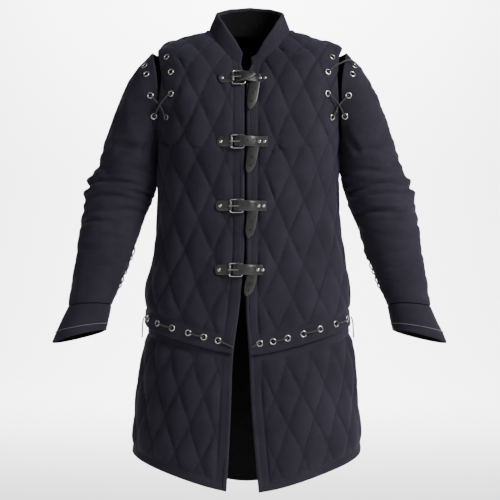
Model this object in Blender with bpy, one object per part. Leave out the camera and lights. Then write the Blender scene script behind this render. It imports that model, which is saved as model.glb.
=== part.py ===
"""
Gambeson: a quilted cotton arming coat with laced-on sleeves and a laced-on skirt,
hollow as it is when worn.

Frame: metres, +Z up, the front faces -Y, +X is the wearer's left.
The origin lies between the shoulders at the base of the neck.
"""
import math

import bmesh
import bpy
from mathutils import Vector

# ------------------------------------------------------------------ driving sizes (metres)
GAP = 0.0003            # air between pieces that touch
QUILT = 0.006           # thickness of the padded jacket, skirt and collar
SLEEVE_CLOTH = 0.005
CUFF_CLOTH = 0.004
TUCK = 0.0072           # how far the skirt lies inside the jacket's surface
SEAM_INSET = 0.0003     # each panel stops this far short of its seam
BINDING_WIDE = 0.008
BINDING_PROUD = 0.0005
SEAM_ANGLE = 90.0       # side and shoulder seams, degrees from the front middle
STEP_ANGLE = 9.0        # width of one facet of the body, degrees
ARMHOLE_HALF = 23.0     # half width of the armhole, degrees
ARMHOLE_MID = 3.0       # row at the middle of the armhole
ARM_COLUMNS = 16
JACKET_HEM = 8.0        # row of the jacket's lower edge
SKIRT_TOP = 7.45        # row of the skirt's upper edge, inside the jacket
SKIRT_HEM = 11.0
CORD = 0.003            # lace diameter
CORD_CLEAR = 0.0012

CLOSURE_HEIGHTS = (-0.113, -0.242, -0.371, -0.500)
CLOSURE_MIDDLE = -0.019     # x of the buckle's middle on the top closure
CLOSURE_DRIFT = -0.0018     # each lower closure sits this much further to -X
TAIL_LENGTHS = (0.052, 0.050, 0.052, 0.040)
STRAP_HALF = 0.0105
STRAP_THICK = 0.0024
BAR = 0.0016                # radius of the buckle's bars
BUCKLE_HALF = 0.0130
BUCKLE_CORNER = 0.0040
BUCKLE_LIFT = 0.0058        # bars above the cloth
PRONG_RADIUS = 0.0011
RIVET_RADIUS = 0.0034
RIVET_HIGH = 0.0014
RIVET_LIFT = STRAP_THICK + 8 * GAP
BASE_START = 0.0410         # start of the buckle's own strap, before the buckle's middle
BASE_LONG = 0.0255
TAIL_ROOT = 0.0190          # where the strap's end leaves it, past the buckle's bar
BASE_RIVET = 0.0335
TONGUE_RIVETS = (0.0410, 0.0310)

LACE_LIFT = 0.5 * CORD + CORD_CLEAR
LACE_HUMP = 0.0012          # rise of the waist lace between two eyelets
WAIST_ROW = 7.76            # row of the waist eyelets
LEFT_WAIST = [10.0 + 10.9 * k for k in range(7)]       # eyelets, degrees
RIGHT_WAIST = [-24.7 - 10.4 * k for k in range(6)]
BACK_WAIST = [98.0 + 12.6 * k for k in range(14)]
WAIST_END_PAST = 6.0        # degrees from the last eyelet to the lace's free end
WAIST_END_DROPS = (         # how far the free end has gone out and down
    (0.000, 0.000), (0.004, -0.004), (0.008, -0.012), (0.009, -0.022), (0.010, -0.034), (0.011, -0.044),
)
EYELET_INSET = 0.018        # shoulder eyelets from the armhole's edge
CHEST_HALF = 0.19
SHOULDER_LIFT = LACE_LIFT + 0.002
FOREARM_FIRST = 8.3         # row of the first forearm eyelet
FOREARM_STEP = 0.3
FOREARM_HALF = 9.0          # degrees from the sleeve's seam to its eyelets
FOREARM_COUNT = 7


def table(columns, *rows):
    """Rows of numbers with named columns."""
    names = columns.split()
    return [dict(zip(names, row)) for row in rows]


# Lace at a shoulder: place is -1 at a jacket eyelet and +1 at a sleeve eyelet,
# around is degrees from the top of the armhole.
SHOULDER_ROUTE = table(
    "place around lift",
    (-1, 112.0, 0.0), (0, 98.0, 0.0030), (1, 84.0, 0.0), (0, 82.0, 0.0), (-1, 86.0, 0.0),
    (0, 100.0, 0.0065), (1, 112.0, 0.0),
)
STRAND_ROUTE = table(
    "place around lift",
    (-1, 58.0, 0.002), (-0.5, 44.0, 0.006), (0.1, 33.0, 0.010), (0.7, 30.0, 0.008), (1, 34.0, 0.003),
)
# Body rings from the neck to the skirt's hem. left_edge and right_edge are the
# x of the two front edges; power is the squareness of the ring.
BODY = table(
    "centre half front back z_front z_side z_back power left_edge right_edge",
    (0.004, 0.084, 0.070, 0.062, -0.080, 0.000, 0.002, 2.0, 0.007, -0.015),    # neck seam
    (0.004, 0.130, 0.092, 0.086, -0.098, -0.017, -0.012, 2.1, 0.001, -0.010),  # yoke
    (0.003, 0.188, 0.108, 0.108, -0.124, -0.041, -0.050, 2.4, -0.002, -0.008),  # shoulder tip
    (0.002, 0.203, 0.123, 0.126, -0.175, -0.128, -0.140, 2.8, -0.002, -0.008),  # chest
    (0.001, 0.188, 0.130, 0.126, -0.262, -0.236, -0.246, 2.7, -0.002, -0.008),  # underarm
    (0.001, 0.186, 0.125, 0.112, -0.370, -0.350, -0.360, 2.5, -0.002, -0.008),  # waist
    (0.001, 0.193, 0.125, 0.116, -0.470, -0.445, -0.460, 2.4, -0.002, -0.009),  # above the hip
    (0.000, 0.209, 0.130, 0.130, -0.575, -0.535, -0.560, 2.4, -0.003, -0.018),  # hip
    (0.000, 0.216, 0.135, 0.140, -0.671, -0.615, -0.665, 2.4, 0.003, -0.031),   # jacket hem
    (-0.001, 0.229, 0.144, 0.146, -0.760, -0.700, -0.765, 2.3, 0.007, -0.035),
    (-0.002, 0.239, 0.152, 0.153, -0.850, -0.790, -0.865, 2.2, 0.014, -0.039),
    (-0.003, 0.246, 0.158, 0.158, -0.945, -0.880, -0.968, 2.2, 0.023, -0.045),  # skirt hem
)
COLLAR_TOP = table(
    "angle z",
    (0.0, -0.066), (12.0, -0.060), (30.0, -0.027), (60.0, 0.014), (90.0, 0.037), (135.0, 0.053),
    (180.0, 0.058),
)
COLLAR_RING = {"half": 0.070, "front": 0.061, "back": 0.054}
COLLAR_COLUMNS = 28
COLLAR_SPLIT = 0.84         # height where the collar's binding starts
COLLAR_SPLIT_GAP = 0.006

# Sleeve sections from the shoulder to the cuff: centre, half sizes across and
# front to back, tilt (outer end up) and nod (front end up) in degrees.
SLEEVE = table(
    "x y z across deep tilt nod",
    (0.213, 0.000, -0.160, 0.0880, 0.0760, 75.0, 0.0),
    (0.230, 0.000, -0.199, 0.0760, 0.0740, 58.0, 0.0),
    (0.241, 0.000, -0.236, 0.0700, 0.0720, 45.0, 1.0),
    (0.251, 0.000, -0.274, 0.0670, 0.0700, 32.0, 2.0),
    (0.262, -0.002, -0.314, 0.0660, 0.0680, 20.0, 4.0),
    (0.278, -0.006, -0.350, 0.0690, 0.0670, 15.0, 6.0),    # elbow fold
    (0.287, -0.014, -0.386, 0.0640, 0.0620, 15.0, 8.0),
    (0.296, -0.024, -0.426, 0.0610, 0.0590, 15.0, 9.0),
    (0.308, -0.038, -0.478, 0.0550, 0.0530, 12.0, 10.0),
    (0.320, -0.056, -0.530, 0.0490, 0.0470, 7.0, 10.0),
    (0.330, -0.070, -0.574, 0.0445, 0.0430, -2.0, 10.0),   # cuff seam
)
CUFF = table(
    "x y z across deep tilt nod",
    (0.330, -0.070, -0.575, 0.0445, 0.0430, -2.0, 10.0),
    (0.339, -0.078, -0.603, 0.0500, 0.0460, -7.0, 9.0),
    (0.345, -0.083, -0.6195, 0.0535, 0.0480, -10.0, 8.0),  # piping
    (0.350, -0.088, -0.636, 0.0570, 0.0500, -13.0, 8.0),   # rim
)
PIPING_ROW = 2.0
PIPING_RADIUS = 0.0011
# Gap between the armhole and the sleeve, round from the top, degrees.
SHOULDER_GAP = table(
    "angle gap",
    (0.0, 0.016), (45.0, 0.013), (90.0, 0.008), (120.0, 0.004), (150.0, 0.006), (180.0, 0.009),
)

COLOURS = {
    "quilted_cotton": ((0.030, 0.029, 0.040), 0.92, 0.0),
    "binding_cotton": ((0.034, 0.033, 0.044), 0.90, 0.0),
    "black_leather": ((0.020, 0.020, 0.021), 0.45, 0.0),
    "nickel": ((0.55, 0.55, 0.56), 0.25, 1.0),
    "lace_cord": ((0.060, 0.058, 0.062), 0.85, 0.0),
    "light_piping": ((0.42, 0.42, 0.45), 0.85, 0.0),
}


# ------------------------------------------------------------------ smooth tables
def read(rows, column, place):
    """Value of a column at a fractional row, on a smooth curve through the rows."""
    last = len(rows) - 1
    place = min(max(place, 0.0), float(last))
    index = min(int(place), last - 1)
    f = place - index
    p1 = rows[index][column]
    p2 = rows[index + 1][column]
    p0 = rows[index - 1][column] if index else 2.0 * p1 - p2
    p3 = rows[index + 2][column] if index + 2 <= last else 2.0 * p2 - p1
    return 0.5 * (2.0 * p1 + (p2 - p0) * f + (2.0 * p0 - 5.0 * p1 + 4.0 * p2 - p3) * f * f
                  + (3.0 * p1 - p0 - 3.0 * p2 + p3) * f ** 3)


def look_up(rows, key, column, value):
    """Straight-line value of a column at a value of the key column."""
    for low, high in zip(rows, rows[1:]):
        if value <= high[key]:
            f = (value - low[key]) / (high[key] - low[key])
            return low[column] + f * (high[column] - low[column])
    return rows[-1][column]


# ------------------------------------------------------------------ the body's surface
def ring_radius(angle, half, depth, power):
    """Radius of a squared-off ellipse in the direction of the angle."""
    across = abs(math.sin(angle)) / half
    along = abs(math.cos(angle)) / depth
    return (across ** power + along ** power) ** (-1.0 / power)


def body_point(degrees, row):
    """Point of the jacket's and skirt's outer surface."""
    angle = math.radians(degrees)
    facing = math.cos(angle)
    depth = read(BODY, "front" if facing >= 0 else "back", row)
    end = read(BODY, "z_front" if facing >= 0 else "z_back", row)
    side = read(BODY, "z_side", row)
    radius = ring_radius(angle, read(BODY, "half", row), depth, read(BODY, "power", row))
    x = read(BODY, "centre", row) + radius * math.sin(angle)
    z = side + (end - side) * abs(facing) ** 1.5
    return Vector((x, -radius * facing, z))


def normal_of(surface, u, v, du, dv):
    """Outward unit normal of a surface whose u runs round and v runs down."""
    along_u = surface(u + du, v) - surface(u - du, v)
    along_v = surface(u, v + dv) - surface(u, v - dv)
    return along_v.cross(along_u).normalized()


def body_at(degrees, row, lift=0.0):
    """Body surface moved out along its normal."""
    row_in = min(max(row, 0.02), SKIRT_HEM - 0.02)
    return body_point(degrees, row) + normal_of(body_point, degrees, row_in, 3.0, 0.02) * lift


def edge_angle(side, row, inset):
    """Angle of the front edge on one side, moved away from the middle by inset."""
    column = "left_edge" if side > 0 else "right_edge"
    x = read(BODY, column, row) - read(BODY, "centre", row) + side * inset
    return math.degrees(math.atan2(x, read(BODY, "front", row)))


def seam_angle(row, inset):
    """Angle of the side seam, armhole and shoulder seam on the front half."""
    inside = 1.0 - (row - ARMHOLE_MID) ** 2
    opening = ARMHOLE_HALF * math.sqrt(inside) if inside > 0 else 0.0
    half = read(BODY, "half", row)
    return SEAM_ANGLE - opening - math.degrees(inset / half)


def find_front(x, z):
    """Angle and row of the front surface point at x and z."""
    degrees, row = 0.0, 4.0
    for _ in range(12):
        low, high = 0.0, SKIRT_HEM
        for _ in range(30):
            row = 0.5 * (low + high)
            if body_point(degrees, row).z > z:
                low = row
            else:
                high = row
        depth = -body_point(degrees, row).y
        degrees = math.degrees(math.atan2(x - read(BODY, "centre", row), depth))
    return degrees, row


def on_front(x, z, lift):
    """Point above the front of the jacket at x and z."""
    degrees, row = find_front(x, z)
    return body_at(degrees, row, lift)


# ------------------------------------------------------------------ the sleeve's surface
def section_point(section, degrees):
    """Point of a tilted oval section; 0 is the outer end, 90 the front."""
    angle = math.radians(degrees)
    tilt = math.radians(section["tilt"])
    nod = math.radians(section["nod"])
    outward = Vector((math.cos(tilt), 0.0, math.sin(tilt)))
    forward = Vector((0.0, -math.cos(nod), math.sin(nod)))
    centre = Vector((section["x"], section["y"], section["z"]))
    return (centre + outward * (section["across"] * math.cos(angle))
            + forward * (section["deep"] * math.sin(angle)))


def armhole_point(degrees, out):
    """Point of the armhole's edge on the wearer's left, moved outward from the body."""
    angle = math.radians(degrees)
    around = SEAM_ANGLE - ARMHOLE_HALF * math.sin(angle)
    row = ARMHOLE_MID - math.cos(angle)
    return body_point(around, row) + Vector((0.96, 0.0, -0.28)) * out


def sleeve_point(degrees, row):
    """Point of the left sleeve's outer surface; row 0 is the head at the armhole."""
    wrapped = (degrees + 180.0) % 360.0 - 180.0
    if row < 1.0:
        head = armhole_point(wrapped, look_up(SHOULDER_GAP, "angle", "gap", abs(wrapped)))
        return head.lerp(section_point(SLEEVE[0], degrees), row)
    section = {name: read(SLEEVE, name, row - 1.0) for name in SLEEVE[0]}
    return section_point(section, degrees)


def cuff_point(degrees, row):
    """Point of the left cuff's outer surface."""
    section = {name: read(CUFF, name, row) for name in CUFF[0]}
    return section_point(section, degrees)


def collar_point(degrees, height):
    """Point of the collar's outer surface; height 0 is the neck seam, 1 the top."""
    angle = math.radians(degrees)
    facing = math.cos(angle)
    foot = body_point(degrees, 0.0)
    depth = COLLAR_RING["front" if facing >= 0 else "back"]
    radius = ring_radius(angle, COLLAR_RING["half"], depth, 2.0)
    around = abs((degrees + 180.0) % 360.0 - 180.0)
    top = Vector((BODY[0]["centre"] + radius * math.sin(angle), -radius * facing,
                  look_up(COLLAR_TOP, "angle", "z", around)))
    foot += (top - foot).normalized() * GAP
    return foot.lerp(top, height)


# ------------------------------------------------------------------ making objects
def clear_scene():
    """Remove every object."""
    for item in list(bpy.data.objects):
        bpy.data.objects.remove(item, do_unlink=True)


def material(name):
    """A Principled material from the table of colours."""
    if name in bpy.data.materials:
        return bpy.data.materials[name]
    colour, roughness, metallic = COLOURS[name]
    result = bpy.data.materials.new(name)
    result.use_nodes = True
    shader = result.node_tree.nodes["Principled BSDF"]
    shader.inputs["Base Color"].default_value = (*colour, 1.0)
    shader.inputs["Roughness"].default_value = roughness
    shader.inputs["Metallic"].default_value = metallic
    return result


def add_object(name, bm, slot):
    """Turn a bmesh into a named object with its faces pointing out."""
    bmesh.ops.recalc_face_normals(bm, faces=bm.faces)
    mesh = bpy.data.meshes.new(name)
    bm.to_mesh(mesh)
    bm.free()
    mesh.shade_smooth()
    mesh.set_sharp_from_angle(angle=math.radians(40.0))
    mesh.materials.append(material(slot))
    item = bpy.data.objects.new(name, mesh)
    bpy.context.scene.collection.objects.link(item)
    return item


def mirrored(point, side):
    """The left side's point, or its mirror image on the right."""
    return Vector((point.x if side > 0 else 2.0 * BODY[2]["centre"] - point.x, point.y, point.z))


def add_wall(name, outer, inner, slot, closed=False):
    """A wall between two grids of points, open or closed round each row."""
    bm = bmesh.new()
    out = [[bm.verts.new(p) for p in row] for row in outer]
    back = [[bm.verts.new(p) for p in row] for row in inner]
    rows, columns = len(out), len(out[0])
    spans = columns if closed else columns - 1
    for grid in (out, back):
        for i in range(rows - 1):
            for j in range(spans):
                k = (j + 1) % columns
                bm.faces.new((grid[i][j], grid[i][k], grid[i + 1][k], grid[i + 1][j]))
    for i in (0, rows - 1):
        for j in range(spans):
            k = (j + 1) % columns
            bm.faces.new((out[i][j], out[i][k], back[i][k], back[i][j]))
    if not closed:
        for j in (0, columns - 1):
            for i in range(rows - 1):
                bm.faces.new((out[i][j], out[i + 1][j], back[i + 1][j], back[i][j]))
    return add_object(name, bm, slot)


def body_panel(name, rows, start, stop, columns, slot, outer=0.0, thick=QUILT):
    """A panel of the body between two edges given as functions of the row."""
    grids = ([], [])
    for row in rows:
        first, last = start(row), stop(row)
        for grid, lift in zip(grids, (outer, outer - thick)):
            grid.append([body_at(first + (last - first) * j / columns, row, lift)
                         for j in range(columns + 1)])
    return add_wall(name, grids[0], grids[1], slot)


def tube_wall(name, surface, rows, thick, slot, side):
    """A sleeve or cuff: a wall closed round the arm."""
    grids = ([], [])
    for row in rows:
        for grid, lift in zip(grids, (0.0, -thick)):
            ring = []
            for j in range(ARM_COLUMNS):
                degrees = 360.0 * j / ARM_COLUMNS
                # the sleeve's angle runs the other way round from the body's
                out = normal_of(surface, degrees, max(row, 0.05), 2.0, 0.04)
                if out.dot(surface(degrees, row) - surface(degrees + 180.0, row)) < 0:
                    out = -out
                ring.append(mirrored(surface(degrees, row) + out * lift, side))
            grid.append(ring)
    return add_wall(name, grids[0], grids[1], slot, closed=True)


def ribbon(name, centres, across, facing, halves, thick, slot):
    """A flat strap along centre points, with a half width at each point."""
    bm = bmesh.new()
    rings = []
    for point, wide, normal, half in zip(centres, across, facing, halves):
        corners = ((-1, -1), (1, -1), (1, 1), (-1, 1))
        rings.append([bm.verts.new(point + wide * (half * s) + normal * (0.5 * thick * t))
                      for s, t in corners])
    for ring, following in zip(rings, rings[1:]):
        for k in range(4):
            m = (k + 1) % 4
            bm.faces.new((ring[k], ring[m], following[m], following[k]))
    bm.faces.new(rings[0][::-1])
    bm.faces.new(rings[-1])
    return add_object(name, bm, slot)


def add_cord(name, points, slot="lace_cord"):
    """A round lace along its points."""
    curve = bpy.data.curves.new(name, "CURVE")
    curve.dimensions = "3D"
    curve.bevel_depth = 0.5 * CORD
    curve.bevel_resolution = 2
    curve.render_resolution_u = 0
    curve.use_fill_caps = True
    spline = curve.splines.new("POLY")
    spline.points.add(len(points) - 1)
    for slot_point, point in zip(spline.points, points):
        slot_point.co = (*point, 1.0)
    curve.materials.append(material(slot))
    item = bpy.data.objects.new(name, curve)
    bpy.context.scene.collection.objects.link(item)
    return item


def smooth_route(points, per_span):
    """Points read from a smooth curve through the route's own points."""
    rows = [{"x": p[0], "y": p[1], "z": p[2]} for p in points]
    count = (len(points) - 1) * per_span
    return [Vector([read(rows, axis, i / per_span) for axis in "xyz"]) for i in range(count + 1)]


# ------------------------------------------------------------------ jacket and skirt
def jacket_rows():
    """Rows from the neck to the jacket's hem, close together at the ends of the armhole."""
    shoulder = [0.0, 0.5, 1.0, 1.5]
    steps = ARM_COLUMNS // 2
    armhole = [ARMHOLE_MID - math.cos(math.pi * k / steps) for k in range(steps + 1)]
    lower = [4.5, 5.0, 5.5, 6.0, 6.5, 7.0, 7.5, JACKET_HEM]
    return shoulder + armhole + lower


def make_jacket():
    """Two fronts, their bindings and the back."""
    rows = jacket_rows()
    columns = round(SEAM_ANGLE / STEP_ANGLE)
    for side, word in ((1, "left"), (-1, "right")):
        body_panel(f"front_{word}", rows,
                   lambda row: edge_angle(side, row, BINDING_WIDE + GAP),
                   lambda row: side * seam_angle(row, SEAM_INSET), columns, "quilted_cotton")
        body_panel(f"front_binding_{word}", rows,
                   lambda row: edge_angle(side, row, 0.0),
                   lambda row: edge_angle(side, row, BINDING_WIDE), 1, "binding_cotton",
                   outer=BINDING_PROUD, thick=QUILT + 2 * BINDING_PROUD)
    body_panel("back", rows,
               lambda row: 180.0 - seam_angle(row, SEAM_INSET),
               lambda row: 180.0 + seam_angle(row, SEAM_INSET), 2 * columns, "quilted_cotton")


def make_skirt():
    """The laced-on skirt, tucked behind the jacket's hem."""
    rows = [SKIRT_TOP, JACKET_HEM, 8.6, 9.2, 9.8, 10.4, SKIRT_HEM]
    columns = round(SEAM_ANGLE / STEP_ANGLE)
    for side, word in ((1, "left"), (-1, "right")):
        body_panel(f"skirt_front_{word}", rows,
                   lambda row: edge_angle(side, row, BINDING_WIDE + GAP),
                   lambda row: side * (SEAM_ANGLE - 0.05), columns, "quilted_cotton", outer=-TUCK)
        body_panel(f"skirt_binding_{word}", rows,
                   lambda row: edge_angle(side, row, 0.0),
                   lambda row: edge_angle(side, row, BINDING_WIDE), 1, "binding_cotton",
                   outer=BINDING_PROUD - TUCK, thick=QUILT + 2 * BINDING_PROUD)
    body_panel("skirt_back", rows, lambda row: SEAM_ANGLE + 0.05, lambda row: 270.0 - 0.05,
               2 * columns, "quilted_cotton", outer=-TUCK)


def collar_wall(name, low, high, lift, thick, slot):
    """A stretch of the standing collar between two heights."""
    start = edge_angle(1, 0.0, 0.0)
    stop = 360.0 + edge_angle(-1, 0.0, 0.0)
    grids = ([], [])
    for height in (high, 0.5 * (low + high), low):
        for grid, out in zip(grids, (lift, lift - thick)):
            ring = []
            for j in range(COLLAR_COLUMNS + 1):
                degrees = start + (stop - start) * j / COLLAR_COLUMNS
                outward = Vector((math.sin(math.radians(degrees)), -math.cos(math.radians(degrees)), 0.0))
                slope = (collar_point(degrees, 1.0) - collar_point(degrees, 0.0)).normalized()
                normal = (outward - slope * outward.dot(slope)).normalized()
                ring.append(collar_point(degrees, height) + normal * out)
            grid.append(ring)
    return add_wall(name, grids[0], grids[1], slot)


def make_collar():
    """The stand collar and its bound edge."""
    collar_wall("collar", 0.02, COLLAR_SPLIT - COLLAR_SPLIT_GAP, 0.0, QUILT - 0.001, "quilted_cotton")
    collar_wall("collar_binding", COLLAR_SPLIT + COLLAR_SPLIT_GAP, 1.0, BINDING_PROUD, QUILT,
                "binding_cotton")


# ------------------------------------------------------------------ sleeves and cuffs
def make_arms():
    """Sleeves, cuffs and the piping round the cuffs."""
    for side, word in ((1, "left"), (-1, "right")):
        rows = [0.0, 1.0, 2.0, 3.0, 4.0, 5.0, 5.5, 6.0, 6.5, 7.0, 8.0, 9.0, 10.0, 10.9]
        tube_wall(f"sleeve_{word}", sleeve_point, rows, SLEEVE_CLOTH, "quilted_cotton", side)
        tube_wall(f"cuff_{word}", cuff_point, [0.0, 1.0, PIPING_ROW, 3.0], CUFF_CLOTH,
                  "quilted_cotton", side)
        make_piping(f"cuff_piping_{word}", side)


def make_piping(name, side):
    """A thin light ring lying on the cuff."""
    sides = 5
    bm = bmesh.new()
    rings = []
    for j in range(ARM_COLUMNS):
        degrees = 360.0 * j / ARM_COLUMNS
        here = cuff_point(degrees, PIPING_ROW)
        out = (here - cuff_point(degrees + 180.0, PIPING_ROW)).normalized()
        above = cuff_point(degrees, PIPING_ROW - 0.2)
        down = (cuff_point(degrees, PIPING_ROW + 0.2) - above).normalized()
        middle = here + out * (PIPING_RADIUS + 2 * GAP)
        ring = []
        for k in range(sides):
            turn = out * math.cos(math.tau * k / sides) + down * math.sin(math.tau * k / sides)
            ring.append(bm.verts.new(mirrored(middle + turn * PIPING_RADIUS, side)))
        rings.append(ring)
    for j, ring in enumerate(rings):
        following = rings[(j + 1) % len(rings)]
        for k in range(sides):
            m = (k + 1) % sides
            bm.faces.new((ring[k], ring[m], following[m], following[k]))
    return add_object(name, bm, "light_piping")


# ------------------------------------------------------------------ buckled closures
def strap_route(stations, height):
    """Centres, across directions and normals of a strap lying along x on the front."""
    centres = [on_front(x, height, lift) for x, lift in stations]
    across, facing = [], []
    for i, point in enumerate(centres):
        low, high = centres[max(i - 1, 0)], centres[min(i + 1, len(centres) - 1)]
        along = (high - low).normalized()
        wide = (on_front(stations[i][0], height + 0.01, 0.0) - on_front(stations[i][0], height - 0.01, 0.0))
        wide = (wide - along * wide.dot(along)).normalized()
        across.append(wide)
        facing.append(wide.cross(along).normalized())
    return centres, across, facing


def make_base_strap(name, middle, height):
    """Short strap that holds the buckle, with a rounded end."""
    half_lift = 0.5 * STRAP_THICK + 3 * GAP
    start = middle - BASE_START
    stations = [(start + f * BASE_LONG, half_lift + 0.0006 * f) for f in (0.0, 0.07, 0.2, 0.6, 1.0)]
    halves = [STRAP_HALF * f for f in (0.45, 0.8, 1.0, 1.0, 0.9)]
    centres, across, facing = strap_route(stations, height)
    ribbon(name, centres, across, facing, halves, STRAP_THICK, "black_leather")


def make_tongue(name, middle, height, tail):
    """Strap riveted at +X, over the buckle's bar, with its end hanging down."""
    base = 0.5 * STRAP_THICK + 3 * GAP
    top = BUCKLE_LIFT + BAR + 0.5 * STRAP_THICK + 2 * GAP
    bar = middle + BUCKLE_HALF
    stations = [(bar + 0.0470, base), (bar + 0.0240, base), (bar + 0.0120, 0.5 * (base + top)),
                (bar + 0.003, top), (bar - 0.003, top), (bar - 0.011, 0.6 * top), (bar - 0.0195, 0.45 * top)]
    centres, across, facing = strap_route(stations, height)
    strap = ribbon(name, centres, across, facing, [STRAP_HALF] * 6 + [0.7 * STRAP_HALF],
                   STRAP_THICK, "black_leather")
    root_x = bar + TAIL_ROOT
    drops = (-0.004, 0.012, 0.0125 + 0.35 * tail, 0.0125 + 0.75 * tail, 0.0125 + tail)
    lean = (0.0, 0.0, -0.003, -0.006, -0.008)
    centres = [on_front(root_x + dx, height - drop, base + 0.0014) for dx, drop in zip(lean, drops)]
    wide = [(on_front(root_x + dx + 0.01, height - drop, 0.0)
             - on_front(root_x + dx - 0.01, height - drop, 0.0)).normalized()
            for dx, drop in zip(lean, drops)]
    facing = [side.cross(Vector((0.0, 0.0, 1.0))).normalized() for side in wide]
    hanging = ribbon(f"{name}_end", centres, wide, facing,
                     [STRAP_HALF * f for f in (0.85, 0.9, 0.95, 0.8, 0.12)], STRAP_THICK, "black_leather")
    hanging.hide_render = True
    hanging.display_type = "WIRE"
    join = strap.modifiers.new("one strap", "BOOLEAN")
    join.operation = "UNION"
    join.object = hanging
    join.solver = "EXACT"


def make_buckle(name, middle, height):
    """Rectangular wire frame with rounded corners."""
    corner = BUCKLE_CORNER
    path = []
    for quarter in range(4):
        for part in range(3):
            angle = math.radians(90.0 * quarter + 45.0 * part)
            cx = (1, -1, -1, 1)[quarter] * (BUCKLE_HALF - corner)
            cz = (1, 1, -1, -1)[quarter] * (BUCKLE_HALF - corner)
            path.append((cx + corner * math.cos(angle), cz + corner * math.sin(angle)))
    sides = 6
    bm = bmesh.new()
    rings = []
    for x, z in path:
        point = on_front(middle + x, height + z, BUCKLE_LIFT)
        out = Vector((x, 0.0, z)).normalized()
        up = Vector((0.0, -1.0, 0.0))
        rings.append([bm.verts.new(point + out * (BAR * math.cos(math.tau * k / sides))
                                   + up * (BAR * math.sin(math.tau * k / sides))) for k in range(sides)])
    for j, ring in enumerate(rings):
        following = rings[(j + 1) % len(rings)]
        for k in range(sides):
            m = (k + 1) % sides
            bm.faces.new((ring[k], ring[m], following[m], following[k]))
    add_object(name, bm, "nickel")


def add_disc(name, point, normal, radius, high, slot):
    """A low domed rivet head standing on a point."""
    sides = 8
    bm = bmesh.new()
    across = normal.orthogonal().normalized()
    along = normal.cross(across)
    rings = []
    for level, size in ((0.0, 1.0), (0.5, 1.0), (1.0, 0.6)):
        rings.append([bm.verts.new(point + normal * (high * level)
                                   + across * (radius * size * math.cos(math.tau * k / sides))
                                   + along * (radius * size * math.sin(math.tau * k / sides)))
                      for k in range(sides)])
    for ring, following in zip(rings, rings[1:]):
        for k in range(sides):
            m = (k + 1) % sides
            bm.faces.new((ring[k], ring[m], following[m], following[k]))
    bm.faces.new(rings[0][::-1])
    bm.faces.new(rings[-1])
    add_object(name, bm, slot)


def make_prong(name, middle, height):
    """The prong, from the far bar over the strap on the near bar."""
    sides = 6
    radius = PRONG_RADIUS
    low = BUCKLE_LIFT + BAR + radius + GAP
    high = BUCKLE_LIFT + BAR + STRAP_THICK + radius + 4 * GAP
    start = on_front(middle - BUCKLE_HALF - 0.001, height, low + 0.0004)
    end = on_front(middle + BUCKLE_HALF + 0.002, height, high + 0.0008)
    along = (end - start).normalized()
    up = Vector((0.0, 0.0, 1.0))
    out = along.cross(up).normalized()
    bm = bmesh.new()
    rings = []
    for point, size in ((start, 1.0), (start.lerp(end, 0.85), 0.9), (end, 0.4)):
        ring = []
        for k in range(sides):
            turn = up * math.cos(math.tau * k / sides) + out * math.sin(math.tau * k / sides)
            ring.append(bm.verts.new(point + turn * (radius * size)))
        rings.append(ring)
    for ring, following in zip(rings, rings[1:]):
        for k in range(sides):
            m = (k + 1) % sides
            bm.faces.new((ring[k], ring[m], following[m], following[k]))
    bm.faces.new(rings[0][::-1])
    bm.faces.new(rings[-1])
    add_object(name, bm, "nickel")


def make_closures():
    """Four buckled straps down the front."""
    for number, (height, tail) in enumerate(zip(CLOSURE_HEIGHTS, TAIL_LENGTHS)):
        middle = CLOSURE_MIDDLE + CLOSURE_DRIFT * number
        name = f"closure_{number + 1}"
        make_base_strap(f"{name}_base", middle, height)
        make_tongue(f"{name}_tongue", middle, height, tail)
        make_buckle(f"{name}_buckle", middle, height)
        make_prong(f"{name}_prong", middle, height)
        places = [middle - BASE_RIVET] + [middle + BUCKLE_HALF + past for past in TONGUE_RIVETS]
        for rivet, x in enumerate(places):
            normal = (on_front(x, height, 0.01) - on_front(x, height, 0.0)).normalized()
            add_disc(f"{name}_rivet_{rivet + 1}", on_front(x, height, RIVET_LIFT), normal,
                     RIVET_RADIUS, RIVET_HIGH, "nickel")


# ------------------------------------------------------------------ laces
def waist_lace(name, angles):
    """A lace along the waist eyelets, with a low hump between each pair."""
    route = []
    for first, second in zip(angles, angles[1:]):
        route.append(body_at(first, WAIST_ROW, LACE_LIFT))
        route.append(body_at(0.5 * (first + second), WAIST_ROW, LACE_LIFT + LACE_HUMP))
    route.append(body_at(angles[-1], WAIST_ROW, LACE_LIFT))
    add_cord(name, smooth_route(route, 2))


def shoulder_spot(place, around, lift, face):
    """Point beside the left armhole, on the jacket (-1), the sleeve (+1) or between (0)."""
    radians = math.radians(around)
    row = ARMHOLE_MID - math.cos(radians)
    degrees = SEAM_ANGLE - ARMHOLE_HALF * math.sin(radians) - math.degrees(EYELET_INSET / CHEST_HALF)
    jacket = body_at(degrees if face > 0 else 180.0 - degrees, row, lift)
    sleeve_row = 0.6
    sleeve = sleeve_point(face * around, sleeve_row)
    away = (sleeve - sleeve_point(face * around + 180.0, sleeve_row)).normalized()
    sleeve = sleeve + away * lift
    return jacket.lerp(sleeve, 0.5 * (place + 1))


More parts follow.
